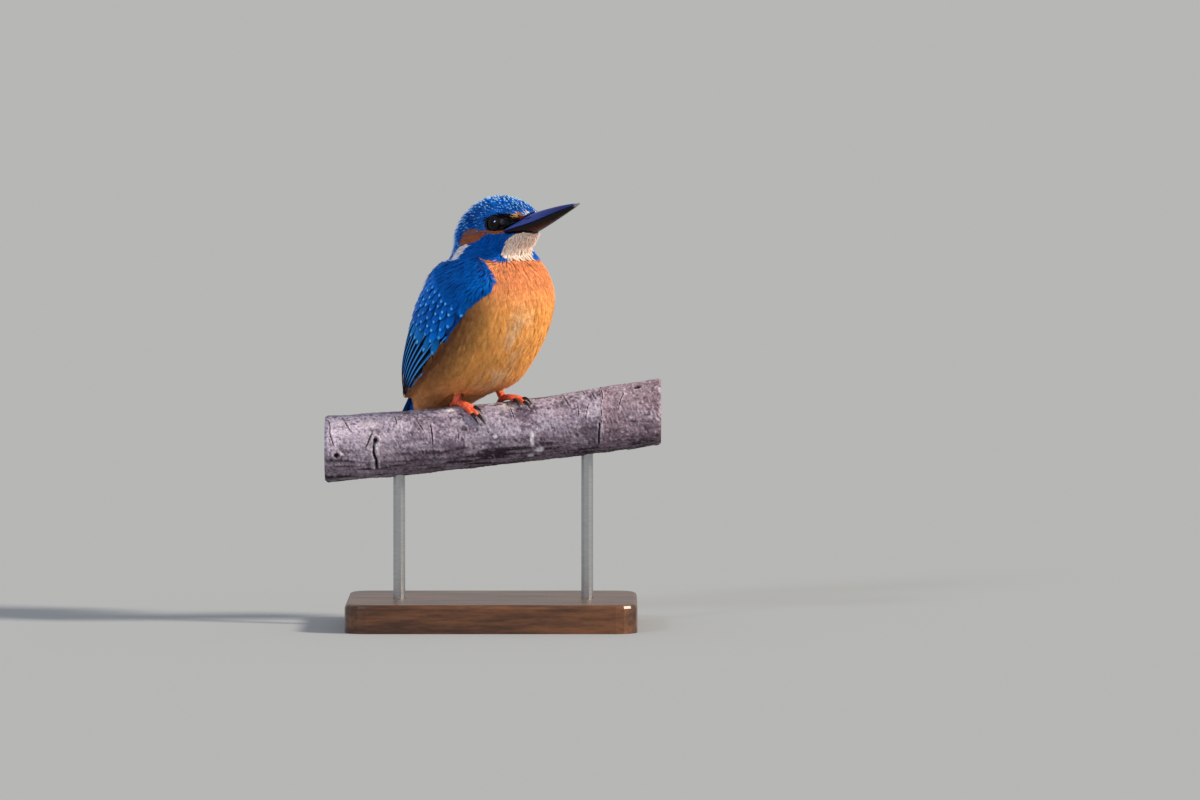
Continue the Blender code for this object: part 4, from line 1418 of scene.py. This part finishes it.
def smooth_copy(node, levels, crease_angle):
    """A CAD node as quads where it can be, creased where it is sharp, and subdivided."""
    made = cad_copy(node)
    bmesh.ops.join_triangles(made, faces=made.faces, angle_face_threshold=0.7, angle_shape_threshold=3.14)
    layer = made.edges.layers.float.new("crease_edge")
    for edge in made.edges:
        if len(edge.link_faces) == 2 and edge.calc_face_angle() > math.radians(crease_angle):
            edge[layer] = 0.9
    return with_modifier(mesh_from(made, node), "SUBSURF", levels=levels, render_levels=levels)


def bill():
    """Both halves darken to the front: the lower from its own maroon base, the upper from a painted blue
    sheen of reflected sky at its base. A painted highlight lies at the tip, and the upper one has its nostril
    slits.
    """
    for half, (base, dark) in BILL.items():
        data = smooth_copy("bill_" + half, 3, 50)
        x, _, z = moved(points_of(data), TO_SKULL).T
        # The upper half is painted bluer at the base, as a sheen of reflected sky.
        colour = mix(base, dark, step(x, 14, 34))
        if half == "upper":
            slit = np.hypot((x - 15.6) / 1.7, (z - 0.16 * x + 2.6) / 0.4)
            colour = mix(colour, NOSTRIL, 0.9 * step(slit, 1.2, 0.7))
        # Painted highlight at the very tip.
        colour = mix(colour, BILL_TIP_GLINT, 0.8 * step(step(x, 12, 44), 0.975, 1.0))
        colour_layer(data, "tint", colour)
        piece(data, "beak_" + half, "bill", ("bill_" + half,), sharp=50)


def claws():
    """Four claws a foot, dark grey."""
    for side in SIDES:
        for number in range(1, 5):
            name = f"claw_{side}_{number}"
            data = smooth_copy(name, 2, 60)
            colour_layer(data, "tint", BARE["claw"])
            piece(data, "nail" + name[4:], "claw", (name,))


# Perch and stand


def perch_line():
    """The perch's own ends, bent axis and radius, from its node's rings: the last two as quadratics in x."""
    points = moved(points_of(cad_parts["perch"].data), PERCH.inverted())
    rings = []
    for x in np.unique(np.round(points[:, 0], 2)):
        heights = points[np.abs(points[:, 0] - x) < 0.02, 2]
        if len(heights) > 100:
            rings.append((x, heights.min(), heights.max()))
    x, low, high = np.array(rings).T
    return x[0], x[-1], np.polyfit(x, (high + low) / 2, 2), np.polyfit(x, (high - low) / 2, 2)


def perch():
    """A weathered branch: plates and strata of bark, cracks, knots, pale patches and sawn ends."""
    start, end, axis, girth = perch_line()
    face = np.linspace(0, 1, END_RINGS, endpoint=False)
    rows_x = np.concatenate(
        (np.full(END_RINGS, start), np.linspace(start, end, BRANCH_ALONG), np.full(END_RINGS, end))
    )
    rows_inward = np.concatenate((face, np.ones(BRANCH_ALONG), face[::-1]))
    last = len(rows_x) - 1
    made = bmesh.new()
    bmesh.ops.create_grid(made, x_segments=BRANCH_AROUND, y_segments=last, size=1.0)
    data = mesh_from(made, "branch")
    grid = (points_of(data) + 1) / 2
    turn = np.rint(grid[:, 0] * BRANCH_AROUND) % BRANCH_AROUND * 2 * math.pi / BRANCH_AROUND
    row = np.rint(grid[:, 1] * last).astype(int)
    x, inward = rows_x[row], rows_inward[row]
    radius = np.polyval(girth, x)
    centre = np.stack((x, np.zeros(len(x)), np.polyval(axis, x)), axis=1)
    away = np.stack((np.zeros(len(x)), -np.sin(turn), np.cos(turn)), axis=1)
    flat = centre + away * radius[:, None]
    relief, colour = bark(flat, x, np.degrees((turn + math.pi) % (2 * math.pi) - math.pi))
    from_end = np.minimum(x - start, end - x)
    relief = relief * step(from_end, 0, 1.0) - 0.5 * step(from_end, 1.2, 0.0)
    reach = (radius + relief) * inward
    points = centre + away * reach[:, None]
    growth = np.sin((reach + 0.7 * cloud(points, 5.0, 41)) * 2 * math.pi / GROWTH_RING)
    wood = mix(BARK["sawn light"], BARK["sawn dark"], 0.5 + 0.4 * growth)
    wood = mix(wood, BARK["pith"], 0.7 * step(inward, 0.14, 0.04))
    wood = mix(wood, BARK["sawn rim"], step(inward, 0.9, 0.97))
    set_points(data, points)
    colour_layer(data, "tint", np.where(inward[:, None] < 1, wood, colour))
    shell = bmesh.new()
    shell.from_mesh(data)
    bmesh.ops.remove_doubles(shell, verts=shell.verts, dist=MERGE)
    bmesh.ops.recalc_face_normals(shell, faces=shell.faces)
    piece(mesh_from(shell, "branch"), "branch", "bark", ("perch",), sharp=60, place=PERCH)


def bark(points, x, round_at):
    """The bark's relief and its colour; round_at is 0 degrees on top and 90 towards the near side."""
    plates = cloud(points * (0.22, 1.0, 1.0), 2.4, 31)
    strata = cloud(points * (0.088, 1.0, 1.0), 1.1, 32)
    broad = cloud(points, 14.0, 33)
    fine = cloud(points, 1.1, 34)
    lean_grain = np.stack((points[:, 0] + 0.3 * points[:, 2], points[:, 1] * 0.7, points[:, 2] * 0.7), axis=1)
    wrinkle = cloud(lean_grain, 0.75, 36)
    patches = cloud(points * (0.6, 1.0, 1.0), 4.5, 38)
    blotch = patches + 0.12 * (fine - 0.5)
    hollow = step(cloud(points * (0.8, 1.0, 1.0), 1.3, 39), 0.22, 0.06)
    # low is the branch's lower side: it is painted darker there as shade, and its strata stand out more.
    low = np.clip(step(round_at, 82, 118) * step(x, 51.5, 50) + step(np.abs(round_at), 120, 150), 0, 1)
    relief = 0.35 * (plates - 0.5) + 0.6 * (broad - 0.5) + 0.15 * (fine - 0.5) + 0.25 * (wrinkle - 0.5)
    relief = relief + 0.5 * (strata - 0.5) * (0.4 + low) + 0.18 * step(patches, 0.5, 0.56) - 0.15 * hollow
    colour = mix(BARK["dark"], BARK["light"], step(broad + 0.5 * (fine - 0.5), 0.3, 0.75))
    layers = (
        ("pale plate", 0.7 * step(blotch, 0.5, 0.57)),
        ("dark plate", 0.6 * step(blotch, 0.36, 0.3)),
        # Painted light: the end of the branch at negative x is lighter.
        ("painted lit end", 0.55 * step(x, -20, -54)),
        ("brown end", 0.6 * step(x, 50.4, 51.2)),
        # Painted shade on the lower side.
        ("underside shade", low * (0.4 + 0.5 * strata)),
        ("strata", low * step(strata, 0.56, 0.72)),
        # Painted highlight on the raised ridges, weaker on the lower side.
        ("ridge", 0.5 * step(wrinkle, 0.64, 0.8) * (1 - 0.7 * low)),
        # Painted shade darkens the furrows and pits.
        ("furrow", 0.6 * step(wrinkle, 0.36, 0.2)),
        ("pit", 0.5 * hollow),
    )
    for name, share in layers:
        colour = mix(colour, BARK[name], share)
    wander = 1.5 * (cloud(points, 5.0, 35) - 0.5) + 0.4 * (cloud(points, 1.6, 37) - 0.5)
    for place, from_turn, to_turn, wide, deep, lean in CRACKS:
        gap = np.abs(x - place - lean * (round_at - from_turn) / 50 + wander)
        reach = step(round_at, from_turn - 6, from_turn + 2) * step(round_at, to_turn + 6, to_turn - 2)
        hit = step(gap, wide, wide * 0.3) * reach
        rim = step(gap, wide * 3.2, wide * 1.3) * (1 - hit) * reach
        relief = relief - deep * hit + 0.25 * rim
        # Painted shade darkens inside each crack.
        colour = mix(mix(colour, BARK["crack"], hit), BARK["crack rim"], 0.45 * rim)
    for place, turn, long, wide, deep in KNOTS:
        reach = np.hypot((x - place) / long, (round_at - turn) * TURN_MM / wide) + 0.35 * (fine - 0.5)
        relief = relief - deep * step(reach, 1.0, 0.3) + 0.5 * step(np.abs(reach - 1.35), 0.5, 0.0)
        # Painted shade darkens each knot's hollow.
        colour = mix(colour, BARK["knot"], step(reach, 1.0, 0.6))
        colour = mix(colour, BARK["knot rim"], 0.5 * step(np.abs(reach - 1.5), 0.45, 0.1))
    for place, turn, long, wide, code in STAINS:
        reach = np.hypot((x - place) / long, (round_at - turn) * TURN_MM / wide) + 0.5 * (fine - 0.5)
        colour = mix(colour, linear(code), 0.75 * step(reach, 1.1, 0.6))
    return relief, colour


def stand():
    """Walnut base and brushed rods: the CAD nodes keep their own shape."""
    for name, finish in (("stand_base", "walnut"), ("stand_rod_1", "steel"), ("stand_rod_2", "steel")):
        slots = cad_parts[name].data.materials
        slots.clear()
        slots.append(FINISHES[finish])


# Light and camera


def studio():
    """A pale floor under an even grey sky, and the lamps."""
    bpy.ops.mesh.primitive_plane_add(size=200.0)
    floor = bpy.context.object
    made, _ = new_material(
        "pale matt studio floor", Base_Color=(*linear("#aaafb5"), 1), Roughness=1.0, Specular_IOR_Level=0.0
    )
    floor.data.materials.append(made)
    world = bpy.data.worlds.new("studio")
    bpy.context.scene.world = world
    world.use_nodes = True
    sky = world.node_tree.nodes["Background"]
    sky.inputs["Color"].default_value = (*linear("#b6b6b6"), 1)
    sky.inputs["Strength"].default_value = 1.0
    for name, way, strength, width, code, lit in LAMPS:
        data = bpy.data.lights.new(name, "SUN")
        data.energy = strength
        data.angle = math.radians(width)
        data.color = linear(code)
        lamp = bpy.data.objects.new(name, data)
        lamp.rotation_euler = Vector(way).to_track_quat("Z", "Y").to_euler()
        bpy.context.scene.collection.objects.link(lamp)
        if lit:
            receivers = bpy.data.collections.new(name + " receivers")
            lamp.light_linking.receiver_collection = receivers
            for other in lit:
                receivers.objects.link(bpy.data.objects[other])


def camera():
    """Three and a half metres off with a long lens, looking along +Y and three degrees down."""
    data = bpy.data.cameras.new("camera")
    data.lens = CAMERA_LENS
    data.sensor_width = 36.0
    data.clip_end = 500.0
    made = bpy.data.objects.new("camera", data)
    target = Vector(CAMERA_TARGET) * MM
    rise = math.radians(CAMERA_RISE)
    made.location = target + Vector((0, -math.cos(rise), math.sin(rise))) * CAMERA_DISTANCE * MM
    made.rotation_euler = (target - made.location).to_track_quat("-Z", "Y").to_euler()
    bpy.context.scene.collection.objects.link(made)
    bpy.context.scene.camera = made
    bpy.context.scene.view_settings.view_transform = "Standard"


ground = skin()
head_coat(ground)
under_coat(ground)
back_coat(ground)
for side in SIDES:
    wing = wing_chart(ground, side)
    wing_coverts(ground, wing, side)
    shoulder_coat(ground, wing, side)
    flank_overlap(ground, wing, side)
    flight_feathers(wing, side)
tail_feathers()
eyes()
bill()
claws()
perch()
stand()
studio()
camera()
